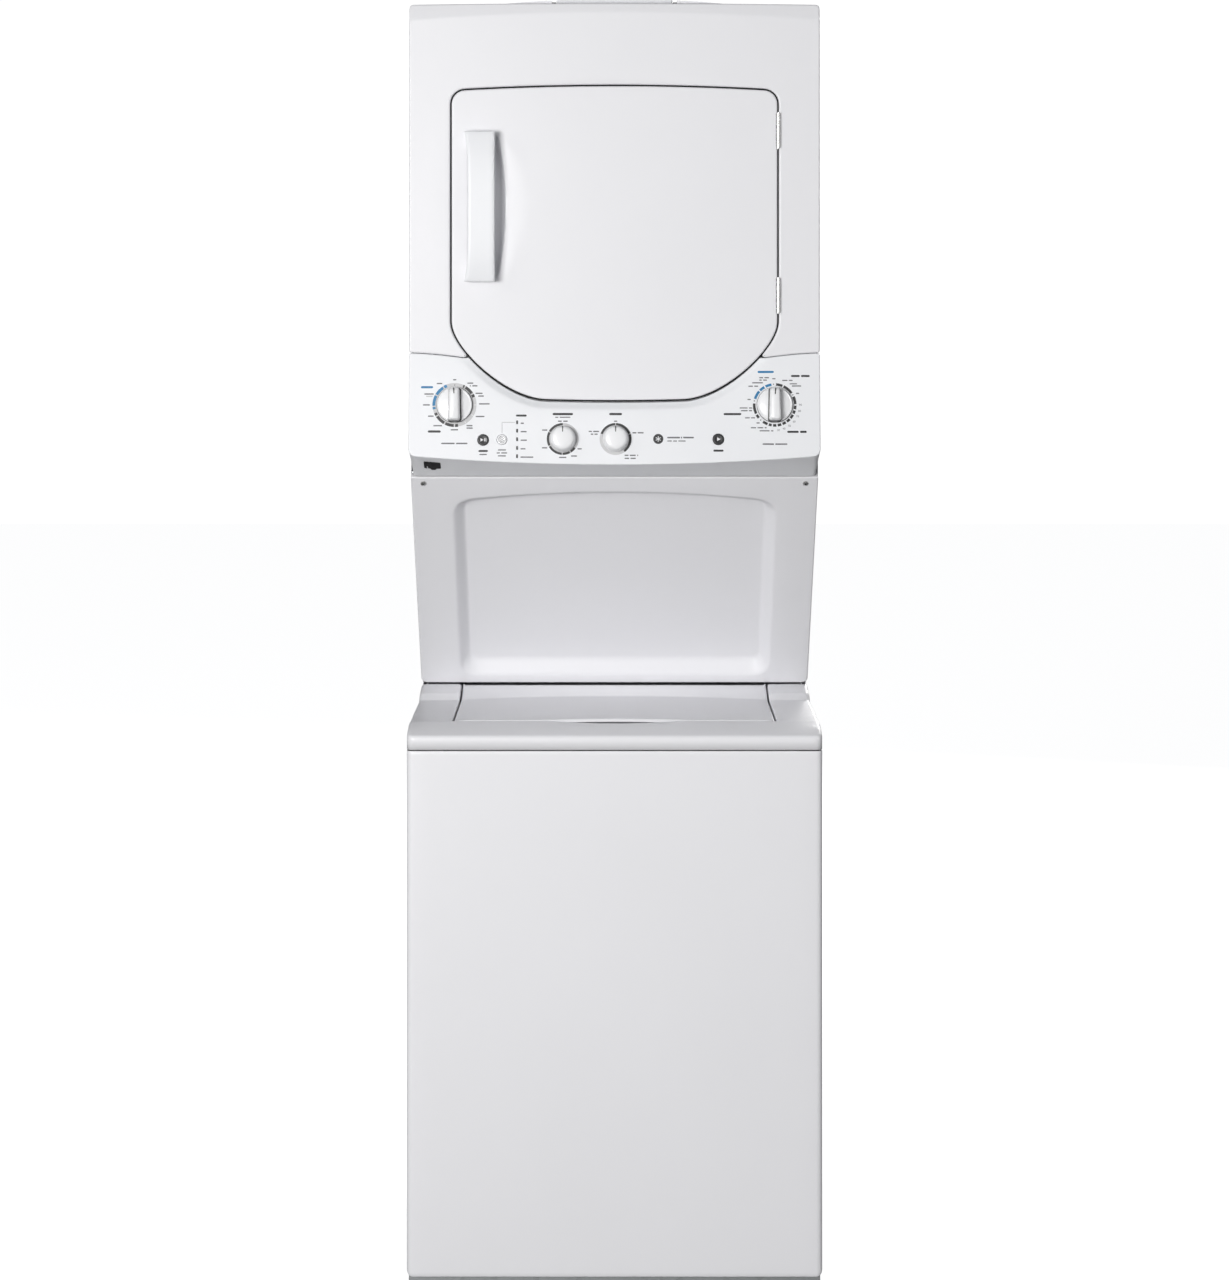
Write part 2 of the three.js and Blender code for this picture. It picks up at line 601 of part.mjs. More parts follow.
function controlFascia() {
  const top = SEAM - 0.3;
  const low = 1230;
  const faceY = (z) => FACE + (SEAM - z) * Math.tan(FASCIA_LEAN);
  const skin = outline([
    [faceY(top), top], [faceY(low), low], [-246, 1205.5], [FASCIA_REAR, 1205.5], [FASCIA_REAR, top],
  ]);
  const hollow = outline([
    [faceY(top + 2) + 2, top + 2], [faceY(low) + 2.1, low + 1.4], [-245.2, 1207.5],
    [FASCIA_REAR + 1, 1207.5], [FASCIA_REAR + 1, top + 2],
  ]);
  const cutters = [
    prismX(hollow, -HALF + 2, HALF - 2),
    prismY(doorOutline(3), FACE - 30, FASCIA_REAR + 5, 5),
    box([-279, -254], [-295, -272], [1205, 1235]),
  ];
  for (const { x, z } of DIALS) cutters.push(fasciaRod(3.8, x, z, [-5, 8], 10));
  for (const { x, z, radius } of BUTTONS) cutters.push(fasciaRod(radius + 0.5, x, z, [-5, 8], 14));
  return cut(prismX(skin, -HALF, HALF), cutters);
}

function bigKnob() {
  const skirt = turnedY([[0, -9], [22, -9], [26, -7], [26, -1], [3.2, -1], [3.2, 12], [0, 12]], 16);
  const grip = prismY(roundedRect([-9, 9], [-24, 24], 8), -25, -8, 3);
  return join([skirt, grip]);
}

const smallKnob = () => turnedY([
  [0, -20], [10, -19.5], [16, -17], [18, -13], [19, -1], [3.2, -1], [3.2, 12], [0, 12],
], 16);

const pushButton = (radius) => turnedY([
  [0, -2.5], [radius - 1, -2.5], [radius, -1.5], [radius, 2.6], [radius + 2, 2.6], [radius + 2, 4.6], [0, 4.6],
], 14);

function buildControls(parent) {
  place(parent, 'control_fascia', controlFascia(), 'plastic');
  const face = groupAt(parent, [0, FACE, SEAM], FASCIA_LEAN);
  const up = (z) => (z - SEAM) / Math.cos(FASCIA_LEAN);
  for (const dial of DIALS) {
    place(face, dial.name, dial.big ? bigKnob() : smallKnob(), 'plastic', [dial.x, 0, up(dial.z)]);
  }
  for (const button of BUTTONS) {
    place(face, button.name, pushButton(button.radius), button.finish, [button.x, 0, up(button.z)]);
  }
  place(face, 'control_board', box([-215, 60], [15, 21], [-152, -100]), 'dark');
}

// ---------------------------------------------------------------- dryer inside

// Drum with its three lifters and rear axle, about the drum's axis.
function dryerDrum() {
  const { radius, mouth, front, back } = DRUM;
  const shell = turnedY([
    [0, back - SHEET], [radius - 8, back - SHEET], [radius - SHEET, back - 9], [radius - SHEET, front + 10.5],
    [radius - 9.5, front + SHEET], [mouth, front + SHEET], [mouth, front], [radius - 9, front],
    [radius, front + 10], [radius, back - 8], [radius - 7, back], [9.5, back], [9.5, 309], [0, 309],
  ], 28);
  const lifter = outline([[-7, 246], [7, 246], [20, 275], [-20, 275]]);
  const ring = rodY(radius - 1, 0, 0, [front, back], 28);
  const lifters = [0, 1, 2].map((i) => {
    const bar = extrude(lifter, -245, 185, 1).rotateX(Math.PI / 2);
    return solidOf(bar.rotateY((i * 2 * Math.PI) / 3)).intersect(ring);
  });
  return join([shell, ...lifters]);
}

const rearBearing = () => turnedY([[10.2, 280], [26, 280], [40, 308], [40, 316], [10.2, 316]], 16);

const heaterPan = () => turnedY([
  [60, 283], [62, 283], [62, 313.4], [176, 313.4], [176, 283], [178, 283], [178, 315.6], [60, 315.6],
], 20);

function drumBelt() {
  const circles = [[0, DRUM.z, DRUM.radius, 36], [BLOWER.x, BLOWER.z, 12, 10]];
  return prismY(wrapped(circles, 6), BELT_Y[0], BELT_Y[1]).subtract(
    prismY(wrapped(circles, 3.6), BELT_Y[0] - 1, BELT_Y[1] + 1),
  );
}

const dryerMotor = () => turnedY([
  [6.6, -120], [50, -120], [56, -112], [56, 4], [50, 12], [6.6, 12],
], 16);

const motorShaft = () => turnedY([
  [0, -168], [6, -168], [6, 22], [14, 22], [14, 25], [12, 27], [12, 39], [14, 41], [14, 44], [0, 44],
], 10);

function blowerWheel() {
  const back = turnedY([[6.6, -200], [14, -200], [14, -176], [58, -176], [58, -173], [6.6, -173]], 16);
  const rim = turnedY([[50, -212], [58, -212], [58, -209], [50, -209]], 16);
  const blades = [];
  for (let i = 0; i < 8; i += 1) {
    const blade = new THREE.BoxGeometry(7, 36, 2).translate(53.5, -193, 0).rotateY(((i + 0.5) * Math.PI) / 4);
    blades.push(solidOf(blade));
  }
  return join([back, rim, ...blades]);
}

function blowerHousing() {
  const y = [-222, -160];
  const { x, z, radius } = BLOWER;
  const shell = (inset) => rodY(radius - inset, x, z, [y[0] + inset, y[1] - inset], 24).add(
    box([EXHAUST.x - 52 + inset, x], [y[0] + inset, y[1] - inset], [1213.5 + inset, 1316 - inset]),
  );
  return cut(shell(0), [
    shell(2.5), rodY(34, x, z, [y[0] - 1, y[0] + 4], 20), rodY(8, x, z, [y[1] - 4, y[1] + 1], 10),
    rodY(EXHAUST.radius - 3, EXHAUST.x, EXHAUST.z, [y[1] - 4, y[1] + 1], 24),
  ]);
}

function exhaustDuct() {
  const span = [-160 + FIT, COLLAR_END];
  const { x, z, radius } = EXHAUST;
  return rodY(radius, x, z, span, 24).subtract(rodY(radius - 1.5, x, z, [span[0] - 1, span[1] + 1], 24));
}

// Flat duct from the lint filter down to the blower's inlet, between front panel and drum.
function airDuct() {
  const wall = 2;
  const y = [-250, -225];
  const run = (inset) => outline([
    [-92 + inset, 1781 + inset], [250 + inset, 1781 + inset], [250 + inset, 1401 - inset],
    [165 + inset, 1401 - inset], [105 + inset, 1336 - inset], [105 + inset, 1238 + inset],
    [200 - inset, 1238 + inset], [200 - inset, 1344 + inset], [296 - inset, 1344 + inset],
    [296 - inset, 1895 - inset], [-92 + inset, 1895 - inset],
  ]);
  return cut(prismY(run(0), y[0], y[1]), [
    prismY(run(wall), y[0] + wall, y[1] - wall),
    box([-88, 88], [y[0] + wall, y[1] - wall], [1880, 1900]),
    rodY(34, BLOWER.x, BLOWER.z, [y[1] - 4, y[1] + 1], 20),
  ]);
}

function lintFilter() {
  const { half, y0, y1, bottom, top } = LINT;
  const screen = box([-half, half], [y0, y1], [bottom, DRYER_TOP + 2]);
  const windows = [-1, 1].map((side) => {
    const x = [side * 6, side * (half - 6)].sort((a, b) => a - b);
    return box(x, [y0 - 1, y0 + 4], [bottom + 6, DRYER_TOP - 12]);
  });
  const low = DRYER_TOP + FIT;
  const cap = prismX(outline([
    [-252, low], [-222, low], [-222, top - 4], [-227, top], [-246, top], [-252, top - 5],
  ]), -90, 90);
  return cut(join([screen, cap]), windows);
}

function terminalCover() {
  const y = [REAR + FIT, REAR + 20];
  const shell = box([-260, -150], y, [1230, 1310]);
  const inside = box([-258, -152], [y[0] - 1, y[1] - 2], [1232, 1308]);
  return cut(shell, [inside, rodZ(7, -205, REAR + 10, [1225, 1240], 12)]);
}

// ---------------------------------------------------------------- dryer door

const knuckle = (z, slot) => {
  const step = HINGE.length / 5;
  const from = z + slot * step + 0.25;
  return { from, to: from + step - 0.5 };
};

// Frame side of a door hinge: three knuckles on one pin, and a leaf behind the panel.
function hingeFrameSide(z) {
  const { x, y, radius, length } = HINGE;
  const barrels = [0, 2, 4].map((slot) => {
    const { from, to } = knuckle(z, slot);
    return join([rodZ(radius, x, y, [from, to], 8), box([x, x + 22], [FACE + 2.4, FACE + 4.2], [from, to])]);
  });
  return join([...barrels, rodZ(1.8, x, y, [z + 1, z + length - 1], 6)]);
}

// Door side of a hinge: two knuckles round the pin, and a leaf inside the door.
function hingeDoorSide(z) {
  const { x, y, radius } = HINGE;
  const barrels = [1, 3].map((slot) => {
    const { from, to } = knuckle(z, slot);
    return join([rodZ(radius, x, y, [from, to], 8), box([x - 6, x], [FACE + 2.4, FACE + 4.2], [from, to])]);
  });
  const { from } = knuckle(z, 1);
  const { to } = knuckle(z, 3);
  const leaf = box([x - 26, x - 5.2], [FACE + 2.4, FACE + 4.2], [from, to]);
  return join([...barrels, leaf]).subtract(rodZ(2.2, x, y, [z, z + HINGE.length], 6));
}

function doorOuter() {
  const back = -264.4;
  const skin = prismY(doorOutline(0), FACE, back, 5);
  return cut(skin, [prismY(doorOutline(-SHEET), FACE + SHEET, back + 1, 5), ...hingeNotches()]);
}

function doorInner() {
  const plate = prismY(doorOutline(-1), -264, -262.6, 5).subtract(rodY(173, 0, THROAT.z, [-270, -260], 24));
  const dish = turnedY([
    [0, -221.5], [149, -221.5], [168.5, -227], [173.5, -264], [175, -264], [175, -262.4], [170, -226],
    [150, -220], [0, -220],
  ], 24, THROAT.z);
  return plate.add(dish);
}

const doorSeal = () => turnedY([[189, -262.1], [199, -262.1], [197, -257.5], [191, -257.5]], 24, THROAT.z);

function doorHandle() {
  const bow = new THREE.Shape();
  bow.moveTo(FACE - FIT, 1493);
  bow.lineTo(FACE - FIT, 1516);
  bow.quadraticCurveTo(-302, 1530, -303, 1603);
  bow.quadraticCurveTo(-302, 1676, FACE - FIT, 1690);
  bow.lineTo(FACE - FIT, 1713);
  bow.lineTo(-308, 1709);
  bow.quadraticCurveTo(-318, 1690, -319, 1603);
  bow.quadraticCurveTo(-318, 1516, -308, 1497);
  return prismX(bow, -220, -175, 6);
}

function buildDoor(parent) {
  const door = groupAt(parent);
  place(door, 'door_outer', doorOuter(), 'enamel');
  place(door, 'door_inner', doorInner(), 'enamel');
  place(door, 'door_seal', doorSeal(), 'felt');
  place(door, 'door_handle', doorHandle(), 'plastic');
  for (const name of ['upper', 'lower']) {
    place(parent, `door_hinge_${name}`, hingeFrameSide(HINGE[name]), 'steel');
    place(door, `door_hinge_leaf_${name}`, hingeDoorSide(HINGE[name]), 'steel');
  }
}

function buildDryer(parent) {
  const dryer = groupAt(parent);
  place(dryer, 'dryer_base', dryerBase(), 'zinc');
  place(dryer, 'dryer_cabinet', dryerCabinet(), 'enamel');
  place(dryer, 'dryer_rear_panel', dryerRearPanel(), 'zinc');
  place(dryer, 'dryer_front_panel', dryerFrontPanel(), 'enamel');
  place(dryer, 'front_bulkhead', frontBulkhead(), 'enamel');
  place(dryer, 'air_duct', airDuct(), 'zinc');
  place(dryer, 'lint_filter', lintFilter(), 'plastic');
  place(dryer, 'blower_housing', blowerHousing(), 'grey');
  place(dryer, 'exhaust_duct', exhaustDuct(), 'zinc');
  place(dryer, 'drum_belt', drumBelt(), 'rubber');
  place(dryer, 'terminal_cover', terminalCover(), 'zinc');
  const drum = groupAt(dryer, [0, 0, DRUM.z]);
  place(drum, 'dryer_drum', dryerDrum(), 'enamel');
  place(drum, 'rear_bearing', rearBearing(), 'zinc');
  place(drum, 'heater_pan', heaterPan(), 'zinc');
  const blower = groupAt(dryer, [BLOWER.x, 0, BLOWER.z]);
  place(blower, 'dryer_motor', dryerMotor(), 'zinc');
  place(blower, 'motor_shaft', motorShaft(), 'steel');
  place(blower, 'blower_wheel', blowerWheel(), 'grey');
  buildDoor(dryer);
  buildControls(dryer);
}

const laundryCentre = new THREE.Group();
buildWasher(laundryCentre);
buildStand(laundryCentre);
buildDryer(laundryCentre);

export default laundryCentre;
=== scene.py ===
"""Looks of a stacked washer and dryer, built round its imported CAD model.

Lengths are in millimetres until a mesh is made. X runs to the right, Y to the back and Z up.
"""

import math

import bpy
import numpy as np
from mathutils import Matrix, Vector
from mathutils.geometry import delaunay_2d_cdt


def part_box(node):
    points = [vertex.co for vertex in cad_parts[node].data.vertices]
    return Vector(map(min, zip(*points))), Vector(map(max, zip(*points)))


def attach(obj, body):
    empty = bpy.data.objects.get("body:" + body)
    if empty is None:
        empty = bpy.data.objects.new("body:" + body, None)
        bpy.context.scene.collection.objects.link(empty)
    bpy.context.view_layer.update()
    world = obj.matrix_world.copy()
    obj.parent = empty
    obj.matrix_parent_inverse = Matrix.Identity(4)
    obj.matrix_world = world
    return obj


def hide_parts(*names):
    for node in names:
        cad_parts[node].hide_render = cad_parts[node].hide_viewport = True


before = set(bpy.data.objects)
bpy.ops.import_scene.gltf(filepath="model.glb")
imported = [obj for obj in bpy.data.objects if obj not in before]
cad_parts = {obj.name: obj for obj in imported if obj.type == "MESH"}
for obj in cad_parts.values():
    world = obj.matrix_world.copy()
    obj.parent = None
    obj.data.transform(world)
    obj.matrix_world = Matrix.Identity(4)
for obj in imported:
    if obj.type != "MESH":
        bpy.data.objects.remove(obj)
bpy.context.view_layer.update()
scene = bpy.context.scene


def span(node):
    """Lowest and highest corner of a CAD node, in millimetres."""
    low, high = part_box(node)
    return low * 1000, high * 1000


HALF = span("dryer_front_panel")[1].x  # half the width of the casing
FACE = span("dryer_front_panel")[0].y  # front of the dryer's panel and door
FRONT = span("washer_front_panel")[0].y
REAR = span("washer_top_cover")[1].y
DRYER_TOP = span("dryer_cabinet")[1].z
CROWN = span("dryer_front_panel")[1].z
SEAM = 1389.0
LEAN = math.radians(-7.5)  # the fascia's foot stands forward of its top
SLANT_LEAN = math.atan2(279, 341)
SLANT_FOOT = (34.0, 864.0)  # y and z of the slanted panel's lower edge
SLANT_LENGTH = 438.0
DIAL_BIG = {"washer_cycle_knob": (-234.3, 1312.5), "dryer_cycle_knob": (234.7, 1312.5)}
DIAL_SMALL = {"temperature_knob": (-75.7, 1263.0), "options_knob": (1.6, 1263.0)}
BUTTONS = {"start_button": (-192.0, 1261.5, 8.0), "rinse_button": (-164.6, 1262.0, 7.3),
           "dryer_start_button": (152.0, 1262.5, 8.0)}


def control_body(node):
    """The body of a knob or button: the node's name with its last word put first."""
    words_before, kind = node.rsplit("_", 1)
    return f"{kind}_{words_before}"


# ------------------------------------------------------------------ materials

def shader_node(tree, kind, **values):
    """A new shader node with some of its inputs set. An underscore in a name stands for a space."""
    node = tree.nodes.new("ShaderNode" + kind)
    for name, value in values.items():
        node.inputs[name.replace("_", " ")].default_value = value
    return node


def material(name, color, roughness, metal=0.0, tint=0.02, patch=0.25, grain=900.0, bump=0.05,
             rough_spread=0.06, coat=0.0, brushed=None, spangle=None):
    """A painted, moulded or metal surface. patch and grain are texture scales per metre."""
    made = bpy.data.materials.new(name)
    made.use_nodes = True
    tree = made.node_tree
    link = tree.links.new
    shader = tree.nodes["Principled BSDF"]
    shader.inputs["Metallic"].default_value = metal
    shader.inputs["Coat Weight"].default_value = coat
    shader.inputs["Coat Roughness"].default_value = 0.12
    place = shader_node(tree, "TexCoord")
    stretch = shader_node(tree, "Mapping")
    link(place.outputs["Object"], stretch.inputs["Vector"])
    if brushed:
        stretch.inputs["Scale"].default_value = brushed
    cloud = shader_node(tree, "TexNoise", Scale=patch * 20, Detail=3)
    link(place.outputs["Object"], cloud.inputs["Vector"])
    fine = shader_node(tree, "TexNoise", Scale=grain, Detail=2)
    link(stretch.outputs["Vector"], fine.inputs["Vector"])
    ramp = shader_node(tree, "ValToRGB")
    dark = [max(c * (1 - tint), 0) for c in color]
    for stop, position, shade in zip(ramp.color_ramp.elements, (0.35, 0.65), (dark, color)):
        stop.position = position
        stop.color = (*shade, 1)
    if spangle:
        cells = shader_node(tree, "TexVoronoi", Scale=spangle)
        link(place.outputs["Object"], cells.inputs["Vector"])
        separate = shader_node(tree, "SeparateColor")
        link(cells.outputs["Color"], separate.inputs["Color"])
        mixed = tree.nodes.new("ShaderNodeMath")
        mixed.operation = "MULTIPLY_ADD"
        mixed.inputs[1].default_value = 0.6
        link(separate.outputs["Red"], mixed.inputs[0])
        link(cloud.outputs["Fac"], mixed.inputs[2])
        link(mixed.outputs["Value"], ramp.inputs["Fac"])
    else:
        link(cloud.outputs["Fac"], ramp.inputs["Fac"])
    link(ramp.outputs["Color"], shader.inputs["Base Color"])
    spread = shader_node(tree, "MapRange", To_Min=max(roughness - rough_spread, 0.02),
                         To_Max=min(roughness + rough_spread, 1))
    link(fine.outputs["Fac"], spread.inputs["Value"])
    link(spread.outputs["Result"], shader.inputs["Roughness"])
    ripple = shader_node(tree, "Bump", Strength=bump, Distance=0.0002)
    link(fine.outputs["Fac"], ripple.inputs["Height"])
    link(ripple.outputs["Normal"], shader.inputs["Normal"])
    return made


# Each surface: its colour and roughness, then what sets it apart from a plain one.
SURFACES = {
    "white_enamel": ((0.80, 0.80, 0.825), 0.4,
                     dict(tint=0.012, patch=0.2, grain=420, bump=0.06, rough_spread=0.05, coat=0.08)),
    "white_plastic": ((0.83, 0.84, 0.865), 0.42, dict(tint=0.01, patch=0.3, grain=2400, bump=0.05)),
    "knob_plastic": ((0.86, 0.865, 0.88), 0.3, dict(tint=0.01, patch=0.6, grain=2200, bump=0.04, coat=0.3)),
    "tub_plastic": ((0.72, 0.76, 0.79), 0.5, dict(tint=0.05, patch=0.6, grain=1500, bump=0.12)),
    "grey_plastic": ((0.27, 0.28, 0.29), 0.6, dict(tint=0.12, patch=1.2, grain=1800, bump=0.25)),
    "black_plastic": ((0.018, 0.018, 0.02), 0.38, dict(tint=0.25, patch=1.5, grain=2200, bump=0.12)),
    "galvanised_steel": ((0.52, 0.54, 0.55), 0.42,
                         dict(metal=1.0, tint=0.22, patch=1.0, bump=0.1, spangle=95)),
    "motor_steel": ((0.36, 0.37, 0.38), 0.48, dict(metal=1.0, tint=0.18, patch=1.5, grain=1200, bump=0.2)),
    "bright_steel": ((0.66, 0.66, 0.65), 0.26,
                     dict(metal=1.0, tint=0.06, patch=1.2, grain=700, bump=0.12, brushed=(1, 1, 14))),
    "foot_rubber": ((0.03, 0.03, 0.03), 0.85, dict(tint=0.3, patch=2, grain=1600, bump=0.5)),
    "belt_rubber": ((0.025, 0.025, 0.025), 0.8, dict(tint=0.3, patch=2, grain=1600, bump=0.5)),
    "felt": ((0.32, 0.31, 0.28), 0.95, dict(tint=0.3, patch=4, grain=3200, bump=0.9)),
    # dark ink for print, and also the painted shade under the big knobs' skirts and round their grips' feet
    "dark_print_and_shade": ((0.03, 0.03, 0.032), 0.45, dict(tint=0.15, patch=3, grain=2500, bump=0.03)),
    "print_grey": ((0.16, 0.16, 0.17), 0.5, dict(tint=0.1, patch=3, grain=2500, bump=0.03)),
    "ring_grey": ((0.56, 0.56, 0.57), 0.42, dict(tint=0.03, patch=2, grain=2500, bump=0.03)),
    "print_blue": ((0.02, 0.2, 0.42), 0.45, dict(tint=0.1, patch=3, grain=2500, bump=0.03)),
    "print_white": ((0.8, 0.8, 0.82), 0.45, dict(tint=0.03, patch=3, grain=2500, bump=0.03)),
    # black used only for painted shade: behind the door gap, in the lint cap's end gaps, on the fascia's
    # slot and as the screws' cross recesses
    "painted_shade_black": ((0.006, 0.006, 0.007), 0.8, dict(tint=0.3, patch=3, grain=1800, bump=0.3)),
}
FINISH = {name: material(name, color, roughness, **more)
          for name, (color, roughness, more) in SURFACES.items()}
NODE_FINISH = {
    "white_enamel": ["washer_cabinet", "stand_frame", "dryer_cabinet", "front_bulkhead",
                     "dryer_drum", "door_inner"],
    "tub_plastic": ["outer_tub"],
    "white_plastic": ["agitator", "balance_ring"],
    "grey_plastic": ["drain_pump", "water_inlet_valve", "blower_housing", "blower_wheel"],
    "black_plastic": ["control_board"],
    "galvanised_steel": ["base_frame", "dryer_rear_panel", "dryer_base", "air_duct",
                         "exhaust_duct", "terminal_cover", "heater_pan"],
    "motor_steel": ["gearcase", "basket_pulley", "washer_motor", "washer_motor_pulley",
                    "rear_bearing", "dryer_motor"],
    "bright_steel": ["wash_basket", "motor_shaft"]
                    + [f"suspension_rod_{e}_{s}" for e in ("front", "rear") for s in ("left", "right")],
    "belt_rubber": ["washer_belt", "drum_belt"],
    "felt": ["door_seal"],
}


# ------------------------------------------------------------------ outlines

def run_along(line):
    """How far along the line each of its points lies."""
    return np.concatenate([[0], np.cumsum(np.linalg.norm(np.diff(line, axis=0), axis=1))])


def points_at(line, places):
    """Points of the open line at the given distances along it."""
    run = run_along(line)
    return np.stack([np.interp(places, run, line[:, i]) for i in (0, 1)], 1)


def spread_out(line, step):
    """The same open line with points at most step apart, evenly along it."""
    line = np.asarray(line, float)
    length = run_along(line)[-1]
    count = max(int(math.ceil(length / step)), 1)
    return points_at(line, np.linspace(0, length, count + 1))


def spread_even(line, count, closed=True):
    """The outline or open line with exactly count points, evenly along it."""
    whole = np.vstack([line, line[:1]]) if closed else np.asarray(line, float)
    return points_at(whole, np.linspace(0, run_along(whole)[-1], count, endpoint=not closed))


def shorten(line, first, last):
    """The open line without its first and last millimetres."""
    line = np.asarray(line, float)
    run = run_along(line)
    keep = (run > first + 1e-6) & (run < run[-1] - last - 1e-6)
    ends = points_at(line, [first, run[-1] - last])
    return np.vstack([ends[0], line[keep], ends[1]])


def corner_points(start, knee, end):
    """Eight points of the rounding between two sides, without its end."""
    knee = np.asarray(knee, float)
    return [(1 - t) ** 2 * start + 2 * t * (1 - t) * knee + t * t * end for t in np.linspace(0, 1, 9)[:-1]]


def loop(parts, step=6.0):
    """A closed outline from open lines joined end to end, each given with its end's corner radius."""
    points = []
    for i, (line, corner) in enumerate(parts):
        before = parts[i - 1][1]
        points += list(spread_out(shorten(line, before, corner), step)[:-1])
        nxt = shorten(parts[(i + 1) % len(parts)][0], corner, 0)
        here = shorten(line, before, corner)[-1]
        # a square corner needs nothing more: the next line starts at this one's end
        if corner > 0:
            points += corner_points(here, line[-1], nxt[0])
    return np.array(points)


def box_loop(x, y, corners, step=8.0):
    """A rectangle counter-clockwise from its lower left, with a radius for each corner from lower right."""
    (x0, x1), (y0, y1) = x, y
    sides = [[(x0, y0), (x1, y0)], [(x1, y0), (x1, y1)], [(x1, y1), (x0, y1)], [(x0, y1), (x0, y0)]]
    return loop(list(zip(sides, corners)), step)


def circle(x, y, radius, count=32):
    angle = np.linspace(0, 2 * math.pi, count, endpoint=False)
    return np.stack([x + radius * np.cos(angle), y + radius * np.sin(angle)], 1)


def bezier(points, count=40):
    """A quadratic or cubic curve through its control points."""
    points = np.asarray(points, float)
    t = np.linspace(0, 1, count + 1)[:, None]
    n = len(points) - 1
    return sum(math.comb(n, i) * t ** i * (1 - t) ** (n - i) * points[i] for i in range(n + 1))


def arc(x, y, radius, start, end, count=12):
    angle = np.radians(np.linspace(start, end, count + 1))
    return np.stack([x + radius * np.cos(angle), y + radius * np.sin(angle)], 1)


def inset(line, distance):
    """The closed outline moved to its left by distance, which may differ from point to point."""
    before = line - np.roll(line, 1, 0)
    after = np.roll(line, -1, 0) - line
    before /= np.linalg.norm(before, axis=1)[:, None]
    after /= np.linalg.norm(after, axis=1)[:, None]
    n1 = np.stack([-before[:, 1], before[:, 0]], 1)
    n2 = np.stack([-after[:, 1], after[:, 0]], 1)
    scale = np.maximum(1 + (n1 * n2).sum(1), 0.3)
    return line + (n1 + n2) / scale[:, None] * np.reshape(distance, (-1, 1))


def inside(points, loops):
    """Which points lie inside the loops, by the even-odd rule."""
    result = np.zeros(len(points), bool)
    for line in loops:
        nxt = np.roll(line, -1, 0)
        for (ax, ay), (bx, by) in zip(line, nxt):
            if ay == by:
                continue
            crosses = (points[:, 1] < ay) != (points[:, 1] < by)
            at = ax + (points[:, 1] - ay) * (bx - ax) / (by - ay)
            result ^= crosses & (points[:, 0] < at)
    return result


def nearest(points, marks):
    """Distance from each point to the nearest mark."""
    best = np.full(len(points), 1e9)
    for start in range(0, len(marks), 200):
        part = marks[start:start + 200]
        best = np.minimum(best, np.linalg.norm(points[:, None] - part[None], axis=2).min(1))
    return best


def distance_to(points, loops):
    """Distance from each point to the nearest corner or middle of the loops' sides."""
    marks = [mark for line in loops for mark in (line, (line + np.roll(line, -1, 0)) / 2)]
    return nearest(points, np.vstack(marks))


# ------------------------------------------------------------------ meshes

def band(a, b):
    """Faces between two closed rings of point numbers."""
    return [(a[i], a[(i + 1) % len(a)], b[(i + 1) % len(a)], b[i]) for i in range(len(a))]


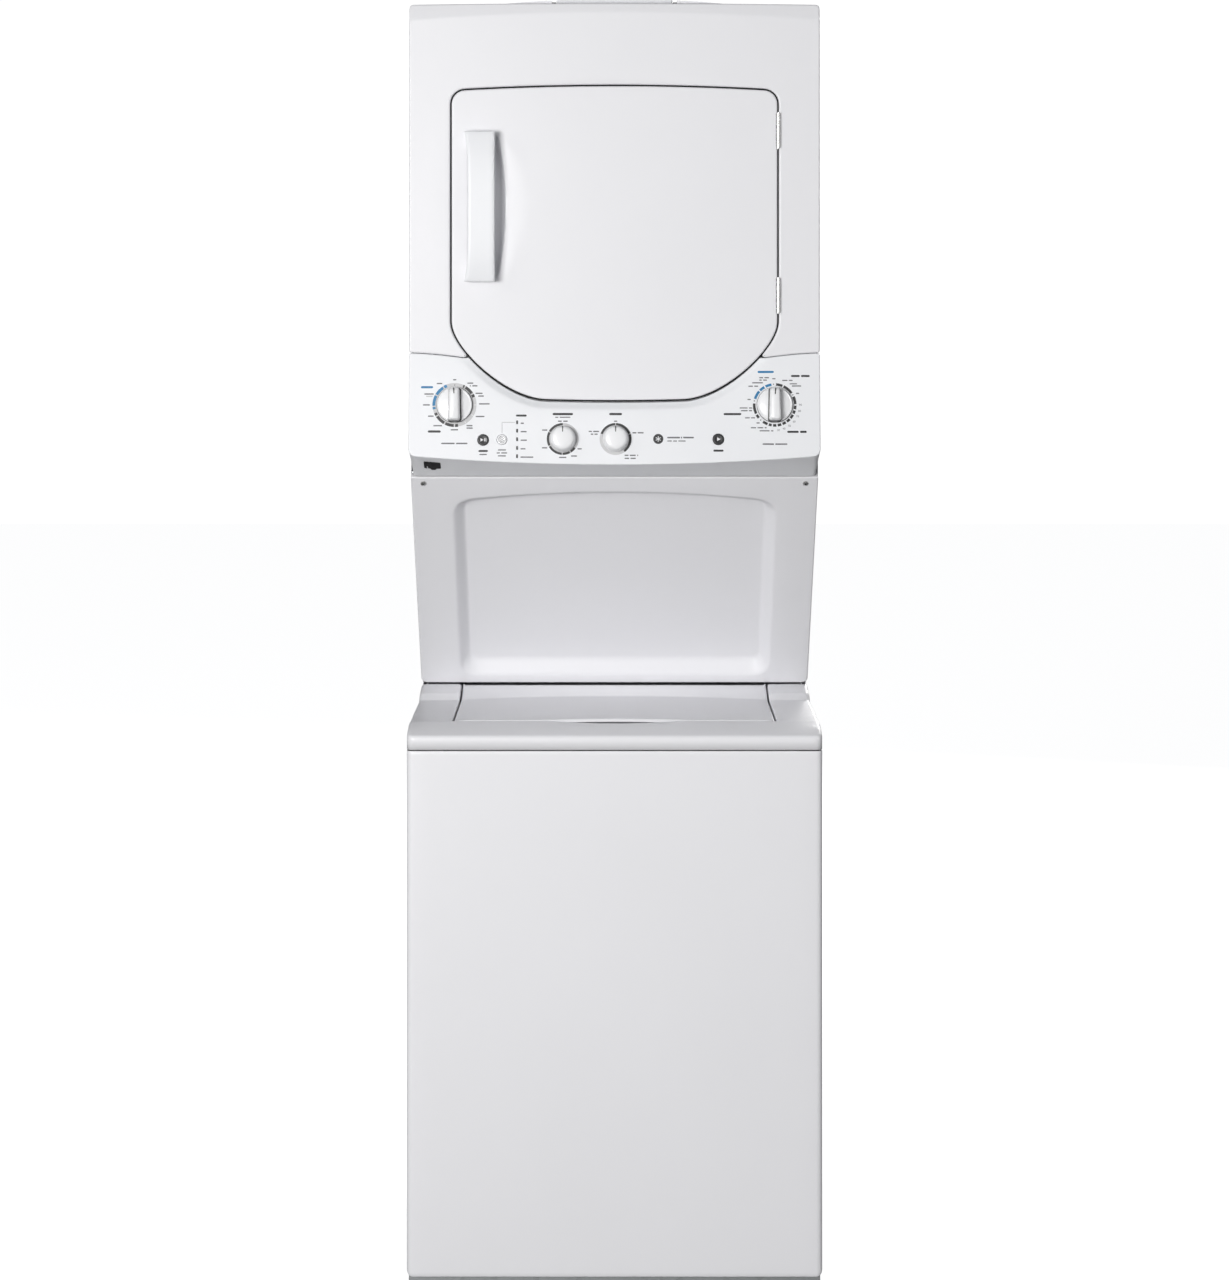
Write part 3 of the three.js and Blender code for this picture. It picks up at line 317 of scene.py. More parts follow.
class Skin:
    """A surface made of rings and filled patches, in (u, v) across it and depth behind it."""

    def __init__(self, base=None):
        self.points = []
        self.faces = []
        self.finish = []
        self.base = base or (lambda u, v: np.zeros(len(u)))

    def ring(self, line, depth, follow=True):
        start = len(self.points)
        line = np.asarray(line, float)
        depth = np.broadcast_to(np.asarray(depth, float), (len(line),))
        if follow:
            depth = depth + self.base(line[:, 0], line[:, 1])
        self.points += [(u, v, d) for (u, v), d in zip(line, depth)]
        return list(range(start, start + len(line)))

    def bridge(self, *rings):
        """Joins each ring to the next."""
        for a, b in zip(rings, rings[1:]):
            self.faces += band(a, b)
            self.finish += [0] * len(a)

    def roll(self, line, radius, steps):
        """Rings of a quarter round along an outline, from its wall to its face."""
        angles = [math.pi / 2 * k / steps for k in range(steps + 1)]
        return [self.ring(inset(line, radius * (1 - math.cos(a))), radius * (1 - math.sin(a)))
                for a in angles]

    def edge(self, line, radius, flange=0.0, steps=4):
        """A rounded edge along an outline with its wall behind it. Returns the inner ring."""
        rings = [self.ring(line, flange)] if flange else []
        rings += self.roll(line, radius, steps)
        # one narrow flat ring keeps the face's shading flat up to the roll
        rings.append(self.ring(inset(line, radius + 0.8), 0))
        self.bridge(*rings)
        return rings[-1]

    def fill(self, outer, holes=(), spacing=12.0, extra=None, depth=None, finish=0):
        """Covers the room between rings with triangles, with grid points and any extra points."""
        loops = [np.array([self.points[i][:2] for i in ring]) for ring in (outer, *holes)]
        low, high = loops[0].min(0), loops[0].max(0)
        shape = [max(int((high[i] - low[i]) / spacing), 1) for i in (0, 1)]
        u = np.linspace(low[0], high[0], shape[0] + 1)
        v = np.linspace(low[1], high[1], shape[1] + 1)
        grid = np.array([(a + (spacing / 4 if j % 2 else 0), b) for j, b in enumerate(v) for a in u])
        extra = np.zeros((0, 2)) if extra is None else np.asarray(extra, float)
        extra = extra[inside(extra, loops)]
        extra = extra[distance_to(extra, loops) > 1.2]
        if len(extra):
            grid = grid[distance_to(grid, [extra]) > spacing * 0.45]
        grid = grid[inside(grid, loops)]
        grid = np.vstack([grid[distance_to(grid, loops) > spacing * 0.5], extra])
        # four far corners, so that no wanted triangle lies on the hull
        far = 10 * (high - low).max()
        flat = [Vector((x, y)) for x in (low[0] - far, high[0] + far)
                for y in (low[1] - far, high[1] + far)]
        edges, owner = [], [None] * 4
        for ring in (outer, *holes):
            start = len(flat)
            flat += [Vector(self.points[i][:2]) for i in ring]
            owner += ring
            edges += [(start + i, start + (i + 1) % len(ring)) for i in range(len(ring))]
        deep = (self.base if depth is None else depth)(grid[:, 0], grid[:, 1]) if len(grid) else []
        for (a, b), d in zip(grid, deep):
            owner.append(len(self.points))
            self.points.append((a, b, d))
            flat.append(Vector((a, b)))
        made, _, tris, source, _, _ = delaunay_2d_cdt(flat, edges, [], 0, 1e-5)
        middle = np.array([[sum(made[i][k] for i in tri) / len(tri) for k in (0, 1)] for tri in tris])
        keep = inside(middle, loops)
        index = []
        for at, origin in zip(made, source):
            if origin:
                index.append(owner[origin[0]])
                continue
            index.append(len(self.points))
            u0, v0 = np.array([at[0]]), np.array([at[1]])
            self.points.append((at[0], at[1], (depth or self.base)(u0, v0)[0]))
        for tri, kept in zip(tris, keep):
            if kept:
                self.faces.append(tuple(index[i] for i in tri))
                self.finish.append(finish)

    def build(self, name, place, finishes, sharp=35):
        """The mesh object, with place(u, v, depth) giving each point in millimetres."""
        points = [place(*p) for p in self.points]
        return mesh_object(name, points, self.faces, finishes, self.finish, sharp)


def add_object(name, data, place=(0, 0, 0)):
    made = bpy.data.objects.new(name, data)
    made.location = place
    scene.collection.objects.link(made)
    return made


def mesh_object(name, points, faces, finishes, face_finish=None, sharp=35):
    """A mesh object from points in millimetres, smooth up to the sharp angle in degrees."""
    mesh = bpy.data.meshes.new(name)
    mesh.from_pydata([Vector(p) / 1000 for p in points], [], faces)
    for finish in finishes:
        mesh.materials.append(FINISH[finish])
    if face_finish:
        mesh.polygons.foreach_set("material_index", face_finish)
    mesh.validate()
    mesh.update()
    mesh.shade_smooth()
    mesh.set_sharp_from_angle(angle=math.radians(sharp))
    return add_object(name, mesh)


def join_parts(name, parts, finishes, sharp=35):
    """One object from (points, faces, finish index) parts."""
    points, faces, finish = [], [], []
    for part_points, part_faces, index in parts:
        start = len(points)
        points += list(part_points)
        faces += [tuple(start + i for i in face) for face in part_faces]
        finish += [index] * len(part_faces)
    return mesh_object(name, points, faces, finishes, finish, sharp)


def settle(piece, body, slot=None, *nodes):
    """The piece rides on a body and stands for CAD nodes, which are hidden. slot is not used."""
    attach(piece, body)
    if nodes:
        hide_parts(*nodes)


def dress(name, parts, finishes, body, slot, *nodes, sharp=35):
    """Joins parts into one piece and settles it."""
    settle(join_parts(name, parts, finishes, sharp), body, slot, *nodes)


def thicken(piece, thickness):
    """Gives a skin a back, thickness millimetres behind it."""
    wall = piece.modifiers.new("wall", "SOLIDIFY")
    wall.thickness = thickness / 1000
    wall.offset = -1


def turned(profile, count=32, place=None, wave=None):
    """Points and faces of a closed turned body. profile is (radius, height) from axis to axis."""
    points, faces, rings = [], [], []
    for radius, height in profile:
        if radius < 1e-6:
            rings.append([len(points)])
            points.append((0.0, 0.0, height))
            continue
        ring = []
        for i in range(count):
            angle = 2 * math.pi * i / count
            r = radius * (wave(i, radius, height) if wave else 1)
            ring.append(len(points))
            points.append((r * math.cos(angle), r * math.sin(angle), height))
        rings.append(ring)
    for a, b in zip(rings, rings[1:]):
        if len(a) == 1:
            faces += [(a[0], b[(i + 1) % count], b[i]) for i in range(count)]
        elif len(b) == 1:
            faces += [(a[i], a[(i + 1) % count], b[0]) for i in range(count)]
        else:
            faces += band(a, b)
    if place:
        points = [place(*p) for p in points]
    return points, faces


def stacked(sections):
    """Points and faces of a closed body through sections that all have the same number of points."""
    sections = list(sections)
    count = len(sections[0])
    rings = [range(i * count, (i + 1) * count) for i in range(len(sections))]
    faces = [face for a, b in zip(rings, rings[1:]) for face in band(a, b)]
    faces += [tuple(rings[-1]), tuple(reversed(rings[0]))]
    return [point for section in sections for point in section], faces


def plate(line, low, high, place, round_over=0.0):
    """Points and faces of a flat plate with the outline line, from depth low to high."""
    line = np.asarray(line, float)
    count = len(line)
    levels = [(0.0, low), (0.0, high)]
    if round_over:
        levels = [(0.0, low), (0.0, high - round_over), (round_over * 0.3, high - round_over * 0.3),
                  (round_over, high)]
    points = []
    for shift, height in levels:
        points += [place(u, v, height) for u, v in (inset(line, shift) if shift else line)]
    return stacked(points[start:start + count] for start in range(0, len(points), count))


# Places for skins drawn in a plane: across, up, and depth behind the face.
def on_dryer(u, v, depth):
    return (u, FACE + depth, v)


def on_fascia(u, v, depth):
    """v is the height above the seam along the leaning face, negative below it."""
    return (u, FACE - v * math.sin(LEAN) + depth * math.cos(LEAN),
            SEAM + v * math.cos(LEAN) + depth * math.sin(LEAN))


def on_slant(u, v, depth):
    y, z = SLANT_FOOT
    back, up = math.sin(SLANT_LEAN), math.cos(SLANT_LEAN)
    return (u, y - v * back + depth * up, z + v * up + depth * back)


def on_top(u, v, depth):
    """Plan view: u to the right, v to the back, depth down from zero height."""
    return (u, v, -depth)


def down_fascia(z):
    """Where a height z lies along the fascia's face."""
    return (z - SEAM) / math.cos(LEAN)


# ------------------------------------------------------------------ the dryer's front

def door_side(grow):
    """The door's left side, from the middle of its foot up to the start of the top corner."""
    h = 239 + grow
    foot = bezier([(0, 1319.0 - grow), (-50, 1319.0 - grow), (-100, 1320.5 - grow)], 12)
    swell = bezier([(-100, 1320.5 - grow), (-160 - 0.4 * grow, 1322 - grow),
                    (-h, 1396 - 0.4 * grow), (-h, 1434)], 60)
    return np.vstack([foot[:-1], swell[:-1], [(-h, 1434), (-h, 1754)]])


def door_top(grow):
    """The door's upper edge with both corners, from the left side to the right side."""
    r = 20 + grow
    left = arc(-219, 1754, r, 180, 90, 10)
    right = arc(219, 1754, r, 90, 0, 10)
    crown = bezier([(-219, 1774 + grow), (0, 1786 + grow), (219, 1774 + grow)], 40)
    return np.vstack([left[:-1], crown, right[1:]])


def mirrored(line):
    return np.asarray(line)[::-1] * (-1, 1)


def door_loop(grow, step=6.0):
    """The door's whole outline, counter-clockwise seen from the front."""
    around = np.vstack([door_side(grow)[::-1][:-1], mirrored(door_side(grow)[::-1])[:-1]])
    whole = np.vstack([around, door_top(grow)[::-1]])
    return spread_out(np.vstack([whole, whole[:1]]), step)[:-1]


def seam_height(x):
    """Lower edge of the front panel: nearly level at the side, dipping towards the door."""
    t = np.clip((HALF - abs(x)) / 74, 0, 1.2)
    return 1388.6 - 6.2 * t ** 1.6


def seam_line(x0, x1, lift=0.0, count=16):
    x = np.linspace(x0, x1, count)
    return np.stack([x, seam_height(x) + lift], 1)


def door_edge_at(grow, level):
    """The half-width of the door's opening at a height of its curved lower corner."""
    side = door_side(grow)
    rising = side[side[:, 1].argsort()]
    return -np.interp(level, rising[:, 1], rising[:, 0])


def upper_band(u, v):
    """The panel's top rolls back above a crease that is lower at the corners."""
    crease = 1888 - 12 * (np.abs(u) / HALF) ** 2
    over = np.maximum(v - crease, 0)
    lean = 0.3 * (np.sqrt(over ** 2 + 1.5 ** 2) - 1.5)
    # the sheet dips softly towards the middle of the door's upper edge
    top = 1782 - 6 * (np.abs(u) / 219) ** 2
    width = 7 + 15 * np.clip(1 - (u / 215) ** 2, 0, 1)
    reach = np.clip(1 - (v - top) / width, 0, 1) * np.clip(1 - (u / 232) ** 2, 0, 1)
    return lean + 2.6 * reach ** 2 * (v > top - 9)


def dryer_front():
    level = float(seam_height(230))
    gap = 2.4
    half = door_edge_at(gap, level)
    side = door_side(gap)
    rise = np.vstack([[(-half, level)], side[side[:, 1] > level + 0.5]])
    rise_mid = 2 * (CROWN - 1.4) - DRYER_TOP - 1
    crown = bezier([(HALF, DRYER_TOP + 1), (0, rise_mid), (-HALF, DRYER_TOP + 1)], 40)
    lead = seam_line(-HALF, -half)
    lead[-1] = (-half, level)
    outline = loop([
        (lead, 7), (rise, 0), (door_top(gap), 0), (mirrored(rise), 7), (mirrored(lead), 4),
        ([(HALF, float(seam_height(HALF))), (HALF, DRYER_TOP + 1)], 7), (crown, 7),
        ([(-HALF, DRYER_TOP + 1), (-HALF, float(seam_height(HALF)))], 4),
    ], 5)
    skin = Skin(upper_band)
    ring = skin.edge(outline, 2.4, flange=21, steps=5)
    x = np.linspace(-298, 298, 90)
    rows = [np.stack([x, 1888 - 12 * (x / HALF) ** 2 + d], 1) for d in (-3, -0.5, 1.5, 4)]
    rows += [np.stack([x, 1782 - 6 * (x / 219) ** 2 + d], 1) for d in (3, 7, 11, 15, 19, 24)]
    skin.fill(ring, spacing=13, extra=np.vstack(rows))
    piece = skin.build("dryer_front_skin", on_dryer, ["white_enamel"])
    thicken(piece, 1.0)
    settle(piece, "cabinet", "white_enamel", "dryer_front_panel")


def door_gap_shade_strip():
    """Black strip behind the door's edge that paints the shade in the gap round the door."""
    skin = Skin()
    line = door_loop(2.35, 6)
    rings = [skin.ring(inset(line, shift), depth)
             for shift, depth in ((0, 6), (1.7, 6), (1.7, 20), (0, 20))]
    skin.bridge(*rings, rings[0])
    piece = skin.build("door_gap_shade_strip", on_dryer, ["painted_shade_black"])
    settle(piece, "cabinet", "black_plastic")


def door_scoop(u, v):
    """Finger pocket beside the handle: deepest behind it and fading to the right."""
    tall = np.clip(1 - ((v - 1603) / 106) ** 2, 0, 1)
    left = np.clip((u + 214) / 10, 0, 1)
    left = left ** 2 * (3 - 2 * left)
    # a deep lens behind the bar, with a short wall on its right, and a long shallow sweep beside it
    wall = np.clip((u + 176 - 11.5 * tall) / 5.0, 0, 1)
    deep = 9.0 * (1 - wall ** 2 * (3 - 2 * wall)) * np.clip(tall * 2.2, 0, 1) ** 0.7
    s = np.clip((u + 176) / (12 + 42 * tall), 0, 1)
    sweep = 2.2 * tall ** 0.55 * (1 - s) ** 2 * (1 + 2 * s)
    return (deep + sweep) * left


def door_skin():
    skin = Skin(door_scoop)
    ring = skin.edge(door_loop(0, 5), 2.4, flange=16.4, steps=5)
    fine = [(x, z) for x in [*np.arange(-219, -179, 3.4), *np.arange(-178, -158, 1.5),
                             *np.arange(-156, -118, 3.6)] for z in np.arange(1489, 1718, 3.6)]
    skin.fill(ring, spacing=12, extra=fine)
    piece = skin.build("door_skin", on_dryer, ["white_enamel"], sharp=50)
    settle(piece, "dryer_door", "white_enamel", "door_outer")


def door_handle():
    """A bar bridging the pocket: flat front, waisted left side and a bowed profile."""
    z_low, z_high = 1493.0, 1713.0
    sections = []
    ends = [0, 0.35, 0.8, 1.4, 2.2]
    levels = [z_low + e for e in ends] + list(np.linspace(z_low + 6, z_high - 6, 52))
    levels += [z_high - e for e in reversed(ends)]
    middle, reach = (z_low + z_high) / 2, (z_high - z_low) / 2
    for z in levels:
        t = (z - middle) / reach
        near = min(z - z_low, z_high - z)
        round_end = 2.2 - math.sqrt(max(2.2 ** 2 - max(2.2 - near, 0) ** 2, 0))
        waist = max(1 - abs(t) ** 5, 0)
        left = -220 + 6.0 * waist + round_end * 0.6
        right = -175 - round_end * 0.6
        front = FACE - 27 - 10.5 * max(1 - abs(t) ** 3.2, 0) + round_end
        arch = max(1 - (abs(t) / 0.80) ** 3.0, 0)
        back = FACE + 0.6 - 23 * arch ** 0.75
        cross = spread_even(box_loop((left, right), (front, back), [3.0, 1.2, 1.2, 3.0], 9), 44)
        sections.append([(x, y, z) for x, y in cross])
    dress("door_handle_bar", [(*stacked(sections), 0)], ["white_plastic"],
          "dryer_door", "white_plastic", "door_handle", sharp=40)


HINGE_X, HINGE_Y, HINGE_LENGTH = 240.3, -282.0, 51.5
HINGES = {"upper": 1689.0, "lower": 1447.0}


def hinge(name, z):
    """Two leaves with five knuckles between them on one pin."""
    step, top = HINGE_LENGTH / 5, z + HINGE_LENGTH
    radius, broken = 4.0, 0.35
    on_pin = lambda x, y, z: (x + HINGE_X, y + HINGE_Y, z)
    for body, slots, x, node in (
        ("cabinet", (0, 2, 4), (HINGE_X, HINGE_X + 22), f"door_hinge_{name}"),
        ("dryer_door", (1, 3), (HINGE_X - 26, HINGE_X), f"door_hinge_leaf_{name}"),
    ):
        parts = []
        for i in slots:
            low, high = z + i * step + 0.2, z + (i + 1) * step - 0.2
            knuckle = [(0, low), (radius - broken, low), (radius, low + broken),
                       (radius, high - broken), (radius - broken, high), (0, high)]
            parts.append((*turned(knuckle, 24, on_pin), 0))
            leaf = box_loop(x, (low, high), [1, 1, 1, 1], 10)
            parts.append((*plate(leaf, FACE + 2.4, FACE + 4.2, lambda u, v, d: (u, d, v)), 0))
        if body == "cabinet":
            pin = [(0, z - 1.2), (1.6, z - 1.2), (2.2, z - 0.6), (2.2, z + 0.6), (1.7, z + 1),
                   (1.7, top - 1), (2.2, top - 0.6), (2.2, top + 0.6), (1.6, top + 1.2), (0, top + 1.2)]
            parts.append((*turned(pin, 16, on_pin), 0))
        dress(f"hinge_{name}_{body}", parts, ["bright_steel"], body, "bright_steel", node)


def lint_drawer():
    """Cap of the lint filter on the dryer's top, with its screen frame below."""
    low, high = span("lint_filter")
    base = DRYER_TOP + 0.5
    outline = box_loop((low.x + 4.5, high.x - 4.5), (-252, -222), [3, 5, 5, 3], 8)
    cap = plate(outline, base, high.z, lambda u, v, d: (u, v, d), 2.2)
    frame_line = box_loop((-84, 84), (low.z, DRYER_TOP), [4, 0.5, 0.5, 4], 10)
    skin = Skin()
    outer = skin.ring(frame_line, 0)
    windows = [box_loop((side * 45 - 39, side * 45 + 39), (low.z + 6, DRYER_TOP - 12), [3] * 4, 10)
               for side in (-1, 1)]
    holes = [skin.ring(window[::-1], 0) for window in windows]
    skin.fill(outer, holes, 30)
    back = skin.ring(frame_line, 13)
    skin.bridge(back, outer)
    for window, hole in zip(windows, holes):
        skin.bridge(skin.ring(window[::-1], 13), hole)
    for pane in [skin.ring(window, 6) for window in windows]:
        skin.fill(pane, [], 30, finish=1)
    points = [(u, -243.5 + d, v) for u, v, d in skin.points]
    parts = [(*cap, 0)]
    for finish in (0, 1):
        faces = [face for face, of in zip(skin.faces, skin.finish) if of == finish]
        parts.append((points, faces, finish))
    dress("lint_filter_drawer", parts, ["white_plastic", "tub_plastic"],
          "lint_drawer", "white_plastic", "lint_filter")


def lint_surround():
    """Low ramps that lead up to the lint cap from both sides, and black blocks that paint the shade in the
    gaps at its ends.
    """
    parts = []
    for side in (-1, 1):
        ramp = bezier([(92, 1907), (112, 1906.8), (150, 1903.5), (190, DRYER_TOP + 0.4)], 24)
        line = np.vstack([[(190, DRYER_TOP - 0.6), (92, DRYER_TOP - 0.6)], ramp[:-1]]) * (side, 1)
        line = line if side < 0 else line[::-1]
        parts.append((*plate(line, -263, -214, lambda u, v, d: (u, d, v)), 0))
        # painted shade: a black block sits in each gap at the cap's end
        gap = box_loop(sorted((side * 86.2, side * 91.9)), (-250, -224), [0.6] * 4, 6)
        parts.append((*plate(gap, DRYER_TOP - 0.5, DRYER_TOP + 6.2, lambda u, v, d: (u, v, d)), 1))
    dress("lint_filter_surround", parts, ["white_enamel", "painted_shade_black"], "cabinet", "white_enamel")


# ------------------------------------------------------------------ the control fascia

CHIN_BACK = (-246.0, span("control_fascia")[0].z + 0.3)  # y and z where the fascia's underside ends


def fascia_foot(x):
    """Height of the fascia's lower edge: bowed down in the middle."""
    return 1225.5 + 12.4 * (np.abs(x) / HALF) ** 2


def fascia_outline():
    gap = 2.4
    level = float(seam_height(230)) - 0.5
    half = door_edge_at(gap, level)
    side = door_side(gap)
    dive = np.vstack([side[side[:, 1] < level - 0.5], [(-half, level)]])
    x = np.linspace(-HALF, HALF, 70)
    foot = np.stack([x, fascia_foot(x)], 1)
    lead = seam_line(HALF, half, -0.5)
    lead[-1] = (half, level)
    right = [(HALF, float(fascia_foot(HALF))), (HALF, float(seam_height(HALF)) - 0.5)]
    outline = loop([
        (foot, 12), (right, 3), (lead, 3),
        (np.vstack([mirrored(dive)[:-1], dive]), 3), (mirrored(lead), 3),
        (mirrored(right), 12),
    ], 5)
    return np.stack([outline[:, 0], down_fascia(outline[:, 1])], 1)


def near_door(u, v):
    """The fascia rolls back to the door's plane along the gap round the door."""
    z = SEAM + v * math.cos(LEAN)
    marks = door_loop(2.4, 5)
    gap = nearest(np.stack([u, z], 1), marks[marks[:, 1] < 1392])
    reach, soft = 10.5, 1.5
    t = (reach - gap) / reach
    ramp = (t + np.sqrt(t * t + (soft / reach) ** 2)) / (1 + math.sqrt(1 + (soft / reach) ** 2))
    step_back = 0.6 - v * math.sin(-LEAN)
    return step_back * ramp


def control_fascia():
    outline = fascia_outline()
    skin = Skin(near_door)
    foot_v = down_fascia(fascia_foot(outline[:, 0]))
    # 1 along the lower edge, whose wall leans back to the fascia's foot, and 0 elsewhere
    normal = outline - inset(outline, 1)
    falling = np.clip(-normal[:, 1] * 1.3 - 0.15, 0, 1) * (outline[:, 1] < foot_v + 14)
    ring = skin.edge(outline, 1.8, steps=5)
    walls = skin.ring(outline, 20, follow=False)
    skin.bridge(walls, range(len(outline)))
    holes = [skin.edge(circle(x, down_fascia(z), radius + 0.45, 32)[::-1], 0.6, flange=6, steps=3)
             for x, z, radius in BUTTONS.values()]
    rows = [inset(outline, d) for d in (3.4, 5.2, 7, 8.4, 9.6, 10.8, 12.2, 14.5)]
    skin.fill(ring, holes, spacing=13, extra=np.vstack(rows))
    places = [on_fascia(*p) for p in skin.points]
    rear = span("control_fascia")[1].y - 1
    for (x, _), share, index in zip(outline, falling.tolist(), walls):
        straight, chin = (x, rear, places[index][2]), (x, *CHIN_BACK)
        places[index] = tuple(a * (1 - share) + b * share for a, b in zip(straight, chin))
    piece = mesh_object("control_fascia_skin", places, skin.faces, ["white_plastic"])
    settle(piece, "cabinet", "white_plastic", "control_fascia")


def service_slot():
    """Black notched plate at the left of the fascia's underside, painting the shade of a slot there."""
    slot = [(-279.5, 23.4), (-255.5, 22.2), (-255.5, 13.4), (-258, 12.6), (-262, 12.6), (-264, 10.6),
            (-268.5, 10.6), (-271, 12.8), (-274, 13.6), (-274, 17.0), (-276, 17.0), (-276, 13.4),
            (-279.5, 14)]
    foot_z = float(fascia_foot(267))
    foot_y = on_fascia(0, down_fascia(foot_z), 0)[1]
    back_y, back_z = CHIN_BACK
    length = math.hypot(foot_y - back_y, foot_z - back_z) / 30
    rise = np.array([foot_y - back_y, foot_z - back_z]) / 30 / length

    def place(u, v, d):
        along = v * length
        return (u, back_y + rise[0] * along + rise[1] * d, back_z + rise[1] * along - rise[0] * d)

    corners = slot[::-1]
    outline = loop([(np.array(side), 0.4) for side in zip(corners, corners[1:] + corners[:1])], 3)
    part = plate(outline[::-1], 0.9, -0.5, place, 0.2)
    dress("fascia_service_slot", [(*part, 0)], ["painted_shade_black"], "cabinet", "black_plastic")


def ring_sector(radius, width, start, end, count=None):
    """An outline of a ring's sector, counter-clockwise, with angles in degrees."""
    count = count or max(int(abs(end - start) / 4), 2)
    outer = arc(0, 0, radius, start, end, count)
    inner = arc(0, 0, radius - width, end, start, count)
    return np.vstack([outer, inner])


def bar(x, y, width, height, turn=0.0):
    """A small bar with rounded ends, as an outline."""
    r = height / 2
    right = arc(width / 2 - r, 0, r, -90, 90, 4)
    left = arc(-width / 2 + r, 0, r, 90, 270, 4)
    line = np.vstack([right, left])
    c, s = math.cos(turn), math.sin(turn)
    return line @ np.array([[c, s], [-s, c]]) + (x, y)


def words(x, y, lengths, height=1.5, anchor="left"):
    """A label drawn as short plain bars, one for each word."""
    height *= 1.25
    total = sum(lengths) + 1.6 * (len(lengths) - 1)
    at = x - {"left": 0, "middle": total / 2, "right": total}[anchor]
    bars = []
    for length in lengths:
        bars.append(bar(at + length / 2, y, length, height))
        at += length + 1.6
    return bars


def digits(text, x, y, size=4.2, lift=0.07):
    """Points and faces of a number on the fascia's face."""
    curve = bpy.data.curves.new(f"number_{text}", "FONT")
    curve.body = text
    curve.size = size / 1000
    curve.align_x = "CENTER"
    curve.align_y = "CENTER"
    curve.extrude = 0.00003
    holder = bpy.data.objects.new(f"number_{text}", curve)
    scene.collection.objects.link(holder)
    bpy.context.view_layer.update()
    evaluated = holder.evaluated_get(bpy.context.evaluated_depsgraph_get())
    mesh = bpy.data.meshes.new_from_object(evaluated)
    bpy.data.objects.remove(holder)
    points = [on_fascia(x + v.co.x * 1000, y + v.co.y * 1000, -lift - v.co.z * 1000)
              for v in mesh.vertices]
    faces = [tuple(p.vertices) for p in mesh.polygons]
    bpy.data.meshes.remove(mesh)
    return points, faces


def shifted(lines, x, y):
    return [np.asarray(line) + (x, y) for line in lines]


def sectors(radius, width, start, end, gaps, gap=1.8):
    """Ring sectors from start to end degrees, cut by narrow gaps at the given angles."""
    stops = sorted([start, *[g for g in gaps if start < g < end], end])
    return [ring_sector(radius, width, a + (gap if a in gaps else 0), b - (gap if b in gaps else 0))
            for a, b in zip(stops, stops[1:])]


# Label bars round the dials: dx and dy from the middle, the words' lengths, the anchored end.
WASHER_LABELS = [
    (0, 37, [5], "middle"), (-18, 31.5, [8.5], "right"), (-30.5, 16, [14], "right"),
    (-36, 0, [10.5], "right"), (-30.5, -16.5, [8.5], "right"), (-18, -30.5, [13], "right"),
    (0, -36.5, [11], "middle"), (17.5, -30.5, [9], "left"), (17.5, -34, [9.5], "left"),
    (31, -17, [13], "left"), (35.5, 1.5, [16], "left"), (30.5, 17, [10.5], "left"),
    (34.5, 13, [8.5], "left"), (18.5, 32, [9], "left"), (22, 28, [2, 8], "left"),
]
DRYER_LABELS = [
    (-1, 38.5, [5], "middle"), (-8, 40, [6, 7], "right"), (-11, 36.5, [4, 6], "right"),
    (-17, 32.5, [16], "right"), (-24, 27.5, [7, 6], "right"), (-35, 8, [5], "right"),
    (-33, -4.5, [12, 5], "right"), (-33, -8.5, [10, 5], "right"), (-29, -19, [7, 6], "right"),
    (-22, -26.5, [5], "right"), (-12, -33.5, [8, 9, 3], "right"), (-2, -38, [15, 4], "right"),
    (11, 36, [8, 6], "left"), (22, 31, [11], "left"), (25, 27.8, [14], "left"), (31, 17, [5], "left"),
]
TEMPERATURE_LABELS = [
    (0, 26, [6, 7], "middle"), (-22.5, 13, [8], "right"), (-22.5, -13, [8], "right"),
    (0, -27, [11], "middle"), (12, -25, [9], "left"), (21.5, -14.5, [6.5], "left"),
]
OPTION_LABELS = [
    (0, 26, [5], "middle"), (-24, 11, [5, 9], "right"), (-26, 7, [4, 5], "right"),
    (24.5, 9, [6, 9], "left"), (13, -24, [6, 9, 2], "left"), (13, -28.4, [7, 8], "left"),
]
LIGHTS_X = -142.5
STATUS = [(1287.2, 5), (1275.0, 9), (1262.6, 9.5), (1250.0, 7.5), (1238.0, 19)]  # height, label length
EMBLEM = (64.0, 1263.0)
# Each ink: how far it stands off the face, and the slot it belongs to.
INKS = {"dark_print_and_shade": (0.06, "black_plastic"), "print_grey": (0.06, "grey_plastic"),
        "print_blue": (0.06, "white_plastic"), "print_white": (0.09, "white_plastic"),
        "ring_grey": (0.03, "grey_plastic")}


def labels(x, v, table, height):
    """Label bars round a dial. A row gives dx, dy, the words' lengths and the anchored end."""
    return [line for dx, dy, lengths, anchor in table
            for line in words(x + dx, v + dy, lengths, height, anchor)]


def whole_ring(radius, width, x=0.0, y=0.0):
    """A ring in twelve sectors."""
    return shifted([ring_sector(radius, width, a, a + 30) for a in range(0, 360, 30)], x, y)


def on_circle(x, y, radius, degrees):
    """A point on a circle, and its angle in radians."""
    angle = math.radians(degrees)
    return x + radius * math.cos(angle), y + radius * math.sin(angle), angle


